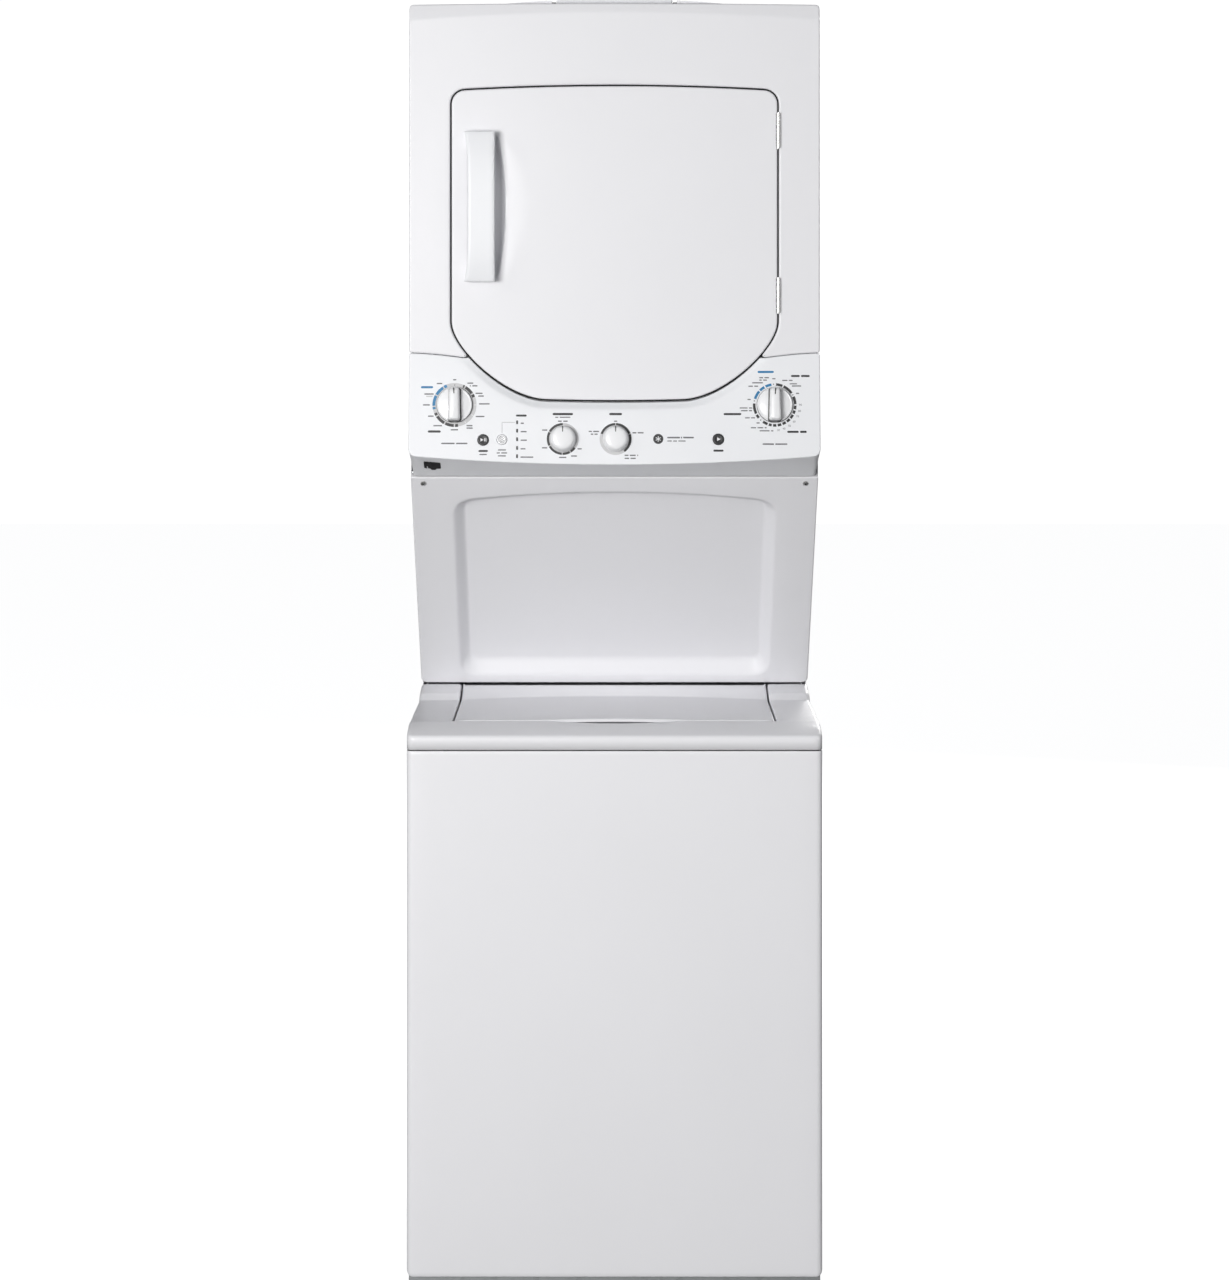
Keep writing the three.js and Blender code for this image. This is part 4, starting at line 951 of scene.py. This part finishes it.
def dial_graphics(inks):
    """Rings, ticks and label bars round the two cycle knobs."""
    x, z = DIAL_BIG["washer_cycle_knob"]
    v = down_fascia(z)
    inks["ring_grey"] += whole_ring(32.2, 6.8, x, v)
    inks["print_blue"] += shifted(sectors(32.4, 4.3, 112, 192, [122, 152, 184]), x, v)
    inks["dark_print_and_shade"] += shifted(sectors(32.4, 4.3, 22, 66, [32, 60]), x, v)
    inks["dark_print_and_shade"] += shifted(sectors(32.4, 4.3, 203, 280, [212, 242, 270]), x, v)
    inks["dark_print_and_shade"].append(bar(x, v + 29.2, 1.7, 1.6))
    for degrees in (0, 330, 302):
        tick_x, tick_v, angle = on_circle(x, v, 29.8, degrees)
        inks["print_white"].append(bar(tick_x, tick_v, 3.4, 1.0, angle))
    inks["print_grey"] += labels(x, v, WASHER_LABELS, 1.5)
    inks["ring_grey"] += words(x - 32, v + 12.6, [10], 1.5, "right")
    inks["print_blue"] += words(x - 31.5, v + 26, [18], 2.6, "right")
    inks["dark_print_and_shade"] += words(x - 20, v - 39, [19], 2.6, "right")
    inks["print_grey"] += words(x, v - 56.5, [20, 17], 1.7, "middle")

    x, z = DIAL_BIG["dryer_cycle_knob"]
    v = down_fascia(z)
    times = [251, 263, 276, 290, 304, 318, 333, 346, 0, 360]
    inks["print_blue"] += shifted(sectors(32.0, 3.8, 99, 163, [118, 137]), x, v)
    inks["dark_print_and_shade"] += shifted(sectors(32.0, 3.8, 35, 86, [66]), x, v)
    inks["dark_print_and_shade"] += shifted(sectors(32.0, 3.8, 176, 219, [207]), x, v)
    inks["dark_print_and_shade"] += shifted(sectors(32.0, 3.8, 235, 384, times), x, v)
    for degrees in (93, 169, 227, 29):
        tick_x, tick_v, angle = on_circle(x, v, 30.4, degrees)
        inks["dark_print_and_shade"].append(bar(tick_x, tick_v, 2.0, 1.5, angle))
    inks["print_grey"] += labels(x, v, DRYER_LABELS, 1.35)
    inks["print_blue"] += words(x - 1, v + 48.5, [24], 2.5, "right")
    inks["dark_print_and_shade"] += words(x + 24, v + 42.5, [13, 13], 2.4, "left")
    inks["dark_print_and_shade"] += words(x - 49, v - 13.5, [26], 2.4, "right")
    inks["dark_print_and_shade"] += words(x + 18, v - 39.5, [17, 10], 2.4, "left")
    inks["print_grey"] += words(x, v - 57.5, [17, 18], 1.7, "middle")
    inks["print_grey"].append(bar(x - 31, v - 5, 3, 0.5))
    minutes = ((0, "90"), (-14, "80"), (-27, "70"), (-41, "60"), (-55, "50"), (-69, "40"), (-82, "30"))
    return [digits(text, *on_circle(x, v, 37.5, degrees)[:2]) for degrees, text in minutes]


def small_dial_graphics(inks):
    """Rings and label bars round the temperature and options knobs."""
    for name, arc_ends, gaps, title, table in (
        ("temperature_knob", (90, 325), [152, 208, 268, 300, 325], 30, TEMPERATURE_LABELS),
        ("options_knob", (-55, 160), [20, 90], 19, OPTION_LABELS),
    ):
        x, z = DIAL_SMALL[name]
        v = down_fascia(z)
        inks["ring_grey"] += whole_ring(23.4, 5.2, x, v)
        inks["dark_print_and_shade"] += shifted(sectors(23.4, 3.4, *arc_ends, gaps, 1.6), x, v)
        inks["dark_print_and_shade"] += words(x, v + 36.5, [title], 2.6, "middle")
        if name == "temperature_knob":
            inks["print_grey"] += words(x, v + 31.8, [5, 16], 1.2, "middle")
        inks["print_grey"] += labels(x, v, table, 1.5)


def button_graphics(inks):
    """Labels of the buttons and lights, and the line from the rinse button to the lights."""
    inks["dark_print_and_shade"] += words(LIGHTS_X - 2, down_fascia(1297), [16], 2.3, "left")
    for z, length in STATUS:
        inks["print_grey"] += words(LIGHTS_X + 5, down_fascia(z) - 1.4, [length], 1.5, "left")
    rinse_x, rinse_z, _ = BUTTONS["rinse_button"]
    foot, top = down_fascia(rinse_z + 9), down_fascia(STATUS[0][0])
    inks["print_grey"] += [bar((rinse_x + LIGHTS_X) / 2 - 1.5, top, LIGHTS_X - rinse_x - 4, 0.45),
                           bar(rinse_x, (top + foot) / 2, top - foot, 0.45, math.pi / 2)]
    for line, lengths in enumerate(([12], [5, 9], [12])):
        inks["print_grey"] += words(rinse_x, down_fascia(1247 - 4.3 * line), lengths, 1.4, "middle")
    start_x = BUTTONS["start_button"][0]
    inks["dark_print_and_shade"] += words(start_x, down_fascia(1245.5), [14], 2.4, "middle")
    inks["print_grey"] += words(start_x, down_fascia(1240.5), [11], 1.4, "middle")
    inks["dark_print_and_shade"] += words(BUTTONS["dryer_start_button"][0], down_fascia(1246), [15], 2.4, "middle")
    inks["print_grey"] += words(77, down_fascia(1265), [19, 1, 16], 1.8, "left")
    inks["print_grey"] += words(77, down_fascia(1260), [7, 6, 11], 1.2, "left")
    inks["dark_print_and_shade"].append(circle(EMBLEM[0], down_fascia(EMBLEM[1]), 7.4, 32))


def fascia_graphics():
    """Printed rings, ticks, plain label bars and numbers on the control fascia."""
    inks = {ink: [] for ink in INKS}
    numbers = dial_graphics(inks)
    small_dial_graphics(inks)
    button_graphics(inks)
    for ink, (lift, slot) in INKS.items():
        parts = [(*plate(line, 0.02, -lift, on_fascia), 0) for line in inks[ink]]
        if ink == "print_grey":
            parts += [(*number, 0) for number in numbers]
        dress(f"fascia_{ink}", parts, [ink], "cabinet", slot)
    # the emblem: a disc with three light crossing bars
    bars = [bar(EMBLEM[0], down_fascia(EMBLEM[1]), 8.5, 1.1, 0.5 + i * math.pi / 3) for i in range(3)]
    parts = [(*plate(line, -0.05, -0.1, on_fascia), 0) for line in bars]
    dress("fascia_emblem_bars", parts, ["print_white"], "cabinet", "white_plastic")

    lenses = []
    for z, _ in STATUS:
        v = down_fascia(z)
        line = box_loop((LIGHTS_X - 1.25, LIGHTS_X + 1.25), (v - 2.7, v + 2.7), [0.9] * 4, 2)
        lenses.append((*plate(line, 0.3, -0.45, on_fascia, 0.3), 0))
    dress("status_lights", lenses, ["black_plastic"], "cabinet", "black_plastic")


def on_face(x, v):
    """A place function for pieces turned about the fascia's normal: height runs outwards."""
    return lambda a, b, h: on_fascia(x + a, v + b, -h)


def wedge(foot, top, low, high, foot_corner, top_corner):
    """A symmetric four-sided outline with rounded corners. foot and top are half-widths."""
    corners = [(-foot, low), (foot, low), (top, high), (-top, high)]
    sides = zip(corners, corners[1:] + corners[:1])
    radii = (foot_corner, top_corner, top_corner, foot_corner)
    return loop([(np.array(side), radius) for side, radius in zip(sides, radii)], 3)


def big_knob(name):
    x, z = DIAL_BIG[name]
    v = down_fascia(z)
    place = on_face(x, v)
    skirt = [(0, 2.0), (25.0, 2.0), (25.8, 2.4), (25.8, 5.6), (25.3, 6.5), (24.5, 6.9), (23.8, 6.5),
             (23.2, 6.4), (20, 7.4), (10, 8.6), (0, 8.8)]
    # painted shadow: a dark disc under the skirt shows as a thin dark outline round its rim
    shadow_ring = [(0, 0.3), (26.4, 0.3), (26.4, 1.6), (0, 1.6)]
    parts = [(*turned(skirt, 64, place), 0), (*turned(shadow_ring, 64, place), 1)]
    # the grip: a bar that widens towards its foot, with a softly rounded ridge
    levels = [(5.5, 0.0), (12, 0.3), (19, 0.8), (22.6, 1.5), (24.2, 2.4), (25.0, 3.8)]
    sections = []
    for height, shrink in levels:
        top, foot = 7.9 - shrink, 9.2 - shrink
        line = spread_even(wedge(foot, top, -24 + shrink, 24 - shrink, 3.4, 2.6), 56)
        fall = 2.2 * np.clip((line[:, 1] - 8) / 16, 0, 1) ** 2
        sections.append([place(a, b, height - f * (height - 5) / 20) for (a, b), f in zip(line, fall)])
    points, faces = stacked(sections)
    parts.append((points, faces[:-1], 0))
    # a dark band round the grip's foot, shifted towards the machine's middle and downwards, paints the
    # shade on the grip's inner side and under its lower lip
    grip_foot_shade = wedge(9.9, 8.6, -24.7, 24.6, 3.8, 3) + (0.6 if x < 0 else -0.6, -0.7)
    parts.append((*plate(grip_foot_shade, 4.0, 10.5, place, 0.4), 1))
    tilt = math.radians(4 if x < 0 else -4)
    pointer = bar(0, 17.2, 12.5, 1.5, math.pi / 2 + tilt)
    parts.append((*plate(pointer, 20, 24.6, place, 0.2), 1))
    dress(f"{name}_body", parts, ["knob_plastic", "dark_print_and_shade"],
          control_body(name), "white_plastic", name, sharp=40)


def small_knob(name):
    x, z = DIAL_SMALL[name]
    v = down_fascia(z)
    place = on_face(x, v)
    profile = [(0, 0.6), (18.4, 0.6), (19, 1.2), (19, 4), (18.6, 5), (17.6, 13), (16.6, 17), (15.2, 18.9),
               (12.8, 19.7), (8, 20.1), (0, 20.2)]
    grip = lambda i, radius, height: 1 - (0.006 if i % 4 < 2 and 3 < height < 15 else 0)
    parts = [(*turned(profile, 96, place, grip), 0)]
    pointer = bar(0, 13.4, 8.6, 1.4, math.pi / 2)
    parts.append((*plate(pointer, 17.0, 20.1, place, 0.2), 1))
    dress(f"{name}_body", parts, ["knob_plastic", "dark_print_and_shade"],
          control_body(name), "white_plastic", name, sharp=40)


def push_button(name):
    x, z, radius = BUTTONS[name]
    v = down_fascia(z)
    place = on_face(x, v)
    dark = name != "rinse_button"
    profile = [(0, -4), (radius + 1.6, -4), (radius + 1.6, -2.8), (radius - 0.1, -2.8), (radius - 0.1, 1.4),
               (radius - 0.7, 2.2), (radius - 1.6, 2.4), (radius - 3, 2.15), (0, 1.9)]
    parts = [(*turned(profile, 48, place), 0)]
    if name == "dryer_start_button":
        lines = [np.array([(-1.9, -2.7), (3.0, 0), (-1.9, 2.7)])]
    elif name == "start_button":
        lines = [np.array([(-4.0, -2.5), (0.4, 0), (-4.0, 2.5)]), bar(2.0, 0, 5.0, 1.1, math.pi / 2),
                 bar(4.0, 0, 5.0, 1.1, math.pi / 2)]
    else:
        lines = whole_ring(5.2, 0.55)
        lines += [ring_sector(3.2, 0.5, 20, 160), ring_sector(3.2, 0.5, 200, 340), bar(0, 0, 1.4, 1.3)]
    parts += [(*plate(line, 1.8, 2.5, place), 1) for line in lines]
    finishes = ["black_plastic", "print_white"] if dark else ["knob_plastic", "print_grey"]
    dress(f"{name}_cap", parts, finishes,
          control_body(name), "black_plastic" if dark else "white_plastic", name, sharp=40)


# ------------------------------------------------------------------ the stand's slanted panel

RECESS = {"half": 225.0, "low": 38.0, "high": 373.0, "crown": 18.0, "depth": 18.0, "wall": 15.0}


def recess_loop(grow):
    """The recess's outline, always with the same number of points on each side and corner."""
    h, r = RECESS["half"] + grow, 16 + grow
    low, high, crown = RECESS["low"] - 1.35 * grow, RECESS["high"] + grow, RECESS["crown"]
    top = bezier([(h, high + 2), (0, high + 2 + 2 * crown), (-h, high + 2)], 60)
    sides = [([(-h, low), (h, low)], 50), ([(h, low), (h, high + 2)], 36), (top, 50),
             ([(-h, high + 2), (-h, low)], 36)]
    points = []
    for i, (side, count) in enumerate(sides):
        run = spread_even(shorten(side, r, r), count, closed=False)
        after = shorten(sides[(i + 1) % 4][0], r, 0)[0]
        points += [*run[:-1], *corner_points(run[-1], side[-1], after)]
    return np.array(points)


def slanted_panel():
    skin = Skin()
    outline = box_loop((-HALF, HALF), (0, SLANT_LENGTH), [11, 3, 3, 11], 7)
    ring = skin.edge(outline, 2.0, flange=17.5, steps=4)
    rings = []
    soft = 3.0
    depth, wall = RECESS["depth"], RECESS["wall"]
    # from the rim down the sloped wall to the floor, with soft bends at both ends
    for shift in np.concatenate([np.linspace(-soft, soft, 5), np.linspace(soft + 2, wall - soft - 2, 3),
                                 np.linspace(wall - soft, wall + soft, 5)]):
        t = shift / wall
        deep = depth * min(max(t, 0), 1)
        if abs(shift) < soft:
            deep = depth * (shift + soft) ** 2 / (4 * soft * wall)
        if abs(shift - wall) < soft:
            deep = depth * (1 - (wall + soft - shift) ** 2 / (4 * soft * wall))
        rings.append(skin.ring(recess_loop(wall - shift), deep))
    skin.fill(ring, [rings[0][::-1]], spacing=16)
    skin.bridge(*rings)
    skin.fill(rings[-1], [], spacing=18, depth=lambda u, v: np.full(len(u), depth))
    piece = skin.build("slanted_panel_skin", on_slant, ["white_enamel"])
    thicken(piece, 1.0)
    settle(piece, "cabinet", "white_enamel", "backsplash_panel")


def truss_screw(place, radius=4.6, height=2.2):
    """A pan-head screw, with black bars on its head painting the shade of a cross recess."""
    profile = [(0, -1), (radius, -1), (radius, 0.3), (radius * 0.93, height * 0.55),
               (radius * 0.68, height * 0.88), (radius * 0.4, height), (0, height)]
    head = turned(profile, 28, place)
    # painted shade: the cross recess is black bars standing on the head, not a hollow
    cross = [plate(bar(0, 0, radius * 1.05, radius * 0.24, turn), height * 0.55, height * 1.02, place)
             for turn in (0.5, 0.5 + math.pi / 2)]
    return [(*head, 0)] + [(*c, 1) for c in cross]


def panel_screws():
    v = (1194.0 - SLANT_FOOT[1]) / math.cos(SLANT_LEAN)
    parts = []
    for x in (-283, 283):
        parts += truss_screw(lambda a, b, h, x=x: on_slant(x + a, v + b, -h))
    dress("slanted_panel_screws", parts, ["bright_steel", "painted_shade_black"], "cabinet", "bright_steel")


# ------------------------------------------------------------------ the washer's top and front

LID_HALF, LID_FRONT, LID_REAR, LID_CLEAR = 236.5, -269.0, 34.0, 43.5
DECK, WELL_FLOOR = 848.0, 820.5


def bend_line(x):
    """Where the lid starts to rise at its back: further back towards the middle."""
    return -37 + 42 * (1 - np.clip(np.abs(x) / LID_HALF, 0, 1) ** 2.2)


def cover_height(x, y):
    """Height of the washer's top surface, front to back."""
    strip = np.interp(y, [FRONT, -340, -320, -286, -279, -37, -34, -22, -17, 30, 34, 36.5, 400],
                      [835.2, 836.2, 841.8, 847.2, 847.6, 846.0, 846.6, 854.0, 855.3, 862, 862.2,
                       DECK, DECK])
    # finger scoop in front of the lid
    across = np.clip(1 - (np.abs(x) / 98) ** 2, 0, 1)
    along = np.clip((y + 302) / 30, 0, 1)
    scoop = 3.6 * across ** 1.2 * along ** 2 * (3 - 2 * along) * (y < -200)
    # the deck drops a little along the lid's front edge
    apron = 1.2 * np.clip((y + 279) / 7, 0, 1) * (y < -200)
    return strip - scoop - apron


def lid_height(x, y):
    middle = np.clip(1 - (np.abs(x) / 118) ** 2, 0, 1)
    crown = 2.2 * middle ** 1.5 * np.clip((-205 - y) / 52, 0, 1) ** 1.5
    # a low bead stands up along the front edge
    ends = np.clip((LID_HALF - 3 - np.abs(x)) / 16, 0, 1)
    bead = 1.3 * np.exp(-((y - LID_FRONT - 4.0) / 3.0) ** 2) * ends
    deck = np.interp(y, [LID_FRONT, -37, 34], [846.6, 846.2, 846.2]) + bead
    start = bend_line(x)
    t = np.clip((y - start) / (31 - start), 0, 1)
    soft = np.sqrt(t * t + 0.02) - math.sqrt(0.02)
    rise = (861.0 - 846.2) * soft / (math.sqrt(1.02) - math.sqrt(0.02))
    return deck + crown + rise


def washer_top():
    skin = Skin(lambda u, v: -cover_height(u, v))
    outline = loop([
        ([(-HALF, FRONT), (HALF, FRONT)], 12), ([(HALF, FRONT), (HALF, REAR)], 1.5),
        ([(HALF, REAR), (-HALF, REAR)], 1.5), ([(-HALF, REAR), (-HALF, FRONT)], 12),
    ], 7)
    skirt = skin.ring(outline, -span("washer_top_cover")[0].z, follow=False)
    rings = skin.roll(outline, 5.0, 5)
    skin.bridge(skirt, *rings)
    gap = LID_HALF + 2.4
    well = box_loop((-gap, gap), (LID_FRONT - 2.2, LID_CLEAR), [4, 1.5, 1.5, 4], 7)
    well_rings = skin.roll(well[::-1], 1.4, 3)
    skin.bridge(skin.ring(well[::-1], -WELL_FLOOR, follow=False), *well_rings)
    rows = [np.stack([np.linspace(-297, 297, 100), np.full(100, y)], 1)
            for y in (-338, -320, -288, -284, -279, -37, -34, -22, -17, 4, 29, 33.5, 37, 40)]
    scoop = [(x, y) for x in np.linspace(-98, 98, 40) for y in np.linspace(-304, -273, 8)]
    skin.fill(rings[-1], [well_rings[-1]], spacing=20, extra=np.vstack([*rows, scoop]))
    # the well's floor with the loading mouth
    mouth = box_loop((-190, 190), (-232, 12), [90] * 4, 8)
    floor_edge = skin.ring(well, -WELL_FLOOR, follow=False)
    lip = [skin.ring(inset(mouth[::-1], shift), -height, follow=False)
           for shift, height in ((2.4, WELL_FLOOR), (0.6, 819.8), (0, 818.2), (0, 812))]
    skin.fill(floor_edge, [lip[0]], spacing=25, depth=lambda u, v: np.full(len(u), -WELL_FLOOR))
    skin.bridge(*lip[::-1])
    piece = skin.build("washer_top_skin", on_top, ["white_enamel"])
    thicken(piece, 1.2)
    settle(piece, "cabinet", "white_enamel", "washer_top_cover")


def washer_lid():
    skin = Skin(lambda u, v: -lid_height(u, v))
    outline = box_loop((-LID_HALF, LID_HALF), (LID_FRONT, LID_REAR), [7, 1.5, 1.5, 7], 5)
    tuck = 10.0 * np.clip((LID_FRONT + 8 - outline[:, 1]) / 8, 0, 1)
    rear = np.clip((outline[:, 1] - 8) / 14, 0, 1)
    skirt = skin.ring(outline + np.stack([0 * tuck, tuck], 1), -829.0 - 16 * rear - tuck, follow=False)
    rings = skin.roll(outline, 3.4, 5)
    skin.bridge(skirt, *rings)
    x = np.linspace(-231, 231, 90)
    rows = [np.stack([x, bend_line(x) + d], 1) for d in (-4, -1, 1, 3, 6)]
    bead_rows = [LID_FRONT + d for d in (5.2, 6.8, 8.4, 10.2, 14, 20, 32, 48)]
    rows += [np.stack([x, np.full(90, y)], 1) for y in (20, 27, *bead_rows)]
    rows = np.vstack(rows)
    skin.fill(rings[-1], [], spacing=16, extra=rows[rows[:, 1] < 29])
    piece = skin.build("washer_lid_skin", on_top, ["white_enamel"], sharp=50)
    thicken(piece, 1.6)
    start, end = LID_HALF - 3, LID_HALF + 9
    profile = [(0, start), (2.5, start), (2.5, end - 0.6), (1.9, end), (0, end)]
    pins = [(*turned(profile, 20, lambda a, b, h, s=side: (s * h, 30 + a, 850 + s * b)), 0)
            for side in (-1, 1)]
    settle(piece, "lid", "white_enamel", "washer_lid")
    dress("washer_lid_pins", pins, ["bright_steel"], "lid", "bright_steel")


def washer_front():
    """The front sheet, wrapped round both edges, with its corners rounded at the foot."""
    radius, back = 9.0, span("washer_front_panel")[1].y
    corner = 9.0
    low, high = (edge.z for edge in span("washer_front_panel"))
    turn = np.linspace(0, math.pi / 2, 9)
    sides = np.concatenate([[back], FRONT + radius * (1 - np.sin(turn))])
    across = np.concatenate([[HALF], HALF - radius * (1 - np.cos(turn))])
    flat = np.linspace(-across[-1], across[-1], 26)[1:-1]
    section = [(-x, y) for x, y in zip(across, sides)] + [(x, FRONT) for x in flat]
    section += [(x, y) for x, y in zip(across[::-1], sides[::-1])]
    levels = [(low + 1.2, 2.4), (low + 0.2, 1.2), (low, 0.4), (low + 0.5, 0.0), (low + 6, 0), (low + 20, 0)]
    levels += [(z, 0) for z in np.linspace(low + 60, high - 30, 10)]
    levels += [(high - 6, 0), (high - 1.2, 0.0), (high - 0.3, 0.5), (high, 1.4), (high - 0.4, 2.6)]
    points, rings = [], []
    for z, tuck in levels:
        ring = []
        for x, y in section:
            lift = 0.0
            if z < low + 20:
                edge = max(abs(x) - (HALF - corner), 0) / corner
                lift = corner * (1 - math.sqrt(max(1 - min(edge, 1) ** 2, 0))) * (1 - (z - low) / 20)
            nx = -math.copysign(1, x) if abs(x) > HALF - 1 else 0
            ring.append(len(points))
            points.append((x + nx * tuck * 0.5, y + (tuck if y < FRONT + radius else 0), z + lift))
        rings.append(ring)
    # the sheet is open at its back edges, so the last face of each band is left out
    faces = [face for a, b in zip(rings, rings[1:]) for face in band(a, b)[:-1]]
    piece = mesh_object("washer_front_skin", points, faces, ["white_enamel"], sharp=40)
    thicken(piece, 1.1)
    settle(piece, "cabinet", "white_enamel", "washer_front_panel")


# ------------------------------------------------------------------ feet, back and carried-over parts

def leveling_feet():
    for end in ("front", "rear"):
        for side in ("left", "right"):
            node = f"leveling_foot_{end}_{side}"
            low, high = span(node)
            x, y = (low.x + high.x) / 2, (low.y + high.y) / 2
            place = lambda a, b, h, x=x, y=y: (x + a, y + b, h)
            radius = (high.x - low.x) / 2
            pad = [(0, low.z), (radius - 3, low.z), (radius - 0.6, low.z + 1.2), (radius, low.z + 4),
                   (radius - 1.5, low.z + 9), (radius - 5, low.z + 12), (10, low.z + 13.5),
                   (0, low.z + 13.5)]
            nut = circle(0, 0, 9.2, 6)
            stem = [(0, low.z + 13), (4.3, low.z + 13)]
            z = low.z + 18
            while z < high.z - 1.6:
                stem += [(4.3, z), (4.95, z + 0.75)]
                z += 1.5
            stem += [(4.2, high.z - 0.6), (3.4, high.z), (0, high.z)]
            parts = [(*turned(pad, 40, place), 0), (*turned(stem, 24, place), 1),
                     (*plate(nut, low.z + 13.2, low.z + 19.5, place, 0.7), 1)]
            dress(f"{node}_detail", parts, ["foot_rubber", "galvanised_steel"],
                  f"foot_{end}_{side}", "foot_rubber", node)


def back_screws():
    parts = []
    low, high = span("dryer_rear_panel")
    spots = [(x, z) for x in (low.x + 9, 0, high.x - 9) for z in (high.z - 9, (low.z + high.z) / 2)
             if not (x == 0 and z < 1700)]
    spots += [(low.x + 9, low.z + 12), (high.x - 9, low.z + 12)]
    y = high.y
    for x, z in spots:
        parts += truss_screw(lambda a, b, h, x=x, z=z: (x - a, y + h, z + b), 4.0, 2.0)
    low, high = span("terminal_cover")
    for x in (low.x + 6, high.x - 6):
        parts += truss_screw(lambda a, b, h, x=x, z=high.z - 6: (x - a, high.y + h, z + b), 3.4, 1.8)
    dress("back_screws", parts, ["galvanised_steel", "painted_shade_black"], "cabinet", "galvanised_steel")


def dress_nodes():
    """Materials and softened edges for the CAD parts that stay."""
    for finish, names in NODE_FINISH.items():
        for name in names:
            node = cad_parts[name]
            node.data.materials.clear()
            node.data.materials.append(FINISH[finish])
            node.data.polygons.foreach_set("material_index", [0] * len(node.data.polygons))
            if "custom_normal" in node.data.attributes:
                node.data.attributes.remove(node.data.attributes["custom_normal"])
            weld = node.modifiers.new("weld", "WELD")
            weld.merge_threshold = 0.00001
            soft = node.modifiers.new("edges", "BEVEL")
            soft.width = 0.0005
            soft.segments = 2
            soft.limit_method = "ANGLE"
            soft.angle_limit = math.radians(38)
            soft.harden_normals = False
            even = node.modifiers.new("even_shading", "WEIGHTED_NORMAL")
            even.keep_sharp = True
            even.weight = 100
            node.data.shade_smooth()
            node.data.set_sharp_from_angle(angle=math.radians(38))


# ------------------------------------------------------------------ stage

WORLD_LIGHT = 0.27
FLOOR_BOUNCE = 0.3
LIGHTS = [  # name, place, the point it faces, size and power
    ("key_front", (-1.55, -4.2, 1.5), (0, -0.3, 0.95), (1.3, 1.1), 128),
    ("fill_left", (-2.8, -2.4, 2.7), (0, 0, 1.7), (1.2, 1.6), 8),
    ("fill_right", (3.0, -3.0, 1.7), (0, 0, 1.2), (1.2, 2.2), 15),
    ("back", (1.5, 4.2, 2.3), (0, 0, 0.95), (1.6, 1.6), 70),
]
CAMERA_PLACE = (0.0, -5.145, 1.525)
CAMERA_LENS = 93.2
CAMERA_SHIFT = -0.297  # the camera stays level, so that upright edges stay upright


def seen_or_lit(tree, lit, seen, surface):
    """Shows one shader to the camera and lights the scene with the other."""
    ray = shader_node(tree, "LightPath")
    pick = shader_node(tree, "MixShader")
    tree.links.new(ray.outputs["Is Camera Ray"], pick.inputs["Fac"])
    tree.links.new(lit, pick.inputs[1])
    tree.links.new(seen, pick.inputs[2])
    tree.links.new(pick.outputs["Shader"], surface)


def studio_floor():
    size = 14.0
    mesh = bpy.data.meshes.new("floor")
    corners = [(-size, -size, 0), (size, -size, 0), (size, size, 0), (-size, size, 0)]
    mesh.from_pydata(corners, [], [(0, 1, 2, 3)])
    paper = bpy.data.materials.new("paper")
    paper.use_nodes = True
    tree = paper.node_tree
    shader = tree.nodes["Principled BSDF"]
    shader.inputs["Base Color"].default_value = (0.9, 0.9, 0.9, 1)
    shader.inputs["Roughness"].default_value = 0.9
    shader.inputs["Emission Color"].default_value = (1, 1, 1, 1)
    shader.inputs["Emission Strength"].default_value = 0.74
    matt = shader_node(tree, "BsdfDiffuse", Color=(FLOOR_BOUNCE, FLOOR_BOUNCE, FLOOR_BOUNCE, 1))
    seen_or_lit(tree, matt.outputs["BSDF"], shader.outputs["BSDF"],
                tree.nodes["Material Output"].inputs["Surface"])
    mesh.materials.append(paper)
    add_object("floor", mesh)


def studio_world():
    world = bpy.data.worlds.new("studio")
    world.use_nodes = True
    scene.world = world
    tree = world.node_tree
    backdrop = tree.nodes["Background"]
    backdrop.inputs["Color"].default_value = (1, 1, 1, 1)
    backdrop.inputs["Strength"].default_value = 1.05
    glow = shader_node(tree, "Background", Color=(0.97, 0.98, 1.0, 1), Strength=WORLD_LIGHT)
    seen_or_lit(tree, glow.outputs["Background"], backdrop.outputs["Background"],
                tree.nodes["World Output"].inputs["Surface"])


def studio_lights():
    for name, place, aim, size, power in LIGHTS:
        data = bpy.data.lights.new(name, "AREA")
        data.shape = "RECTANGLE"
        data.size, data.size_y = size
        data.energy = power
        data.color = (1.0, 0.995, 0.985)
        lamp = add_object(name, data, place)
        lamp.rotation_euler = (Vector(aim) - Vector(place)).to_track_quat("-Z", "Y").to_euler()


def studio_camera():
    data = bpy.data.cameras.new("camera")
    data.lens = CAMERA_LENS
    data.sensor_width = 36
    data.shift_y = CAMERA_SHIFT
    data.clip_end = 60
    camera = add_object("camera", data, CAMERA_PLACE)
    camera.rotation_euler = (math.radians(90), 0, 0)
    scene.camera = camera
    scene.view_settings.view_transform = "Standard"


dress_nodes()
dryer_front()
door_gap_shade_strip()
door_skin()
door_handle()
for hinge_name, hinge_z in HINGES.items():
    hinge(hinge_name, hinge_z)
lint_drawer()
lint_surround()
control_fascia()
service_slot()
fascia_graphics()
for knob in DIAL_BIG:
    big_knob(knob)
for knob in DIAL_SMALL:
    small_knob(knob)
for button in BUTTONS:
    push_button(button)
slanted_panel()
panel_screws()
washer_top()
washer_lid()
washer_front()
leveling_feet()
back_screws()
studio_floor()
studio_world()
studio_lights()
studio_camera()
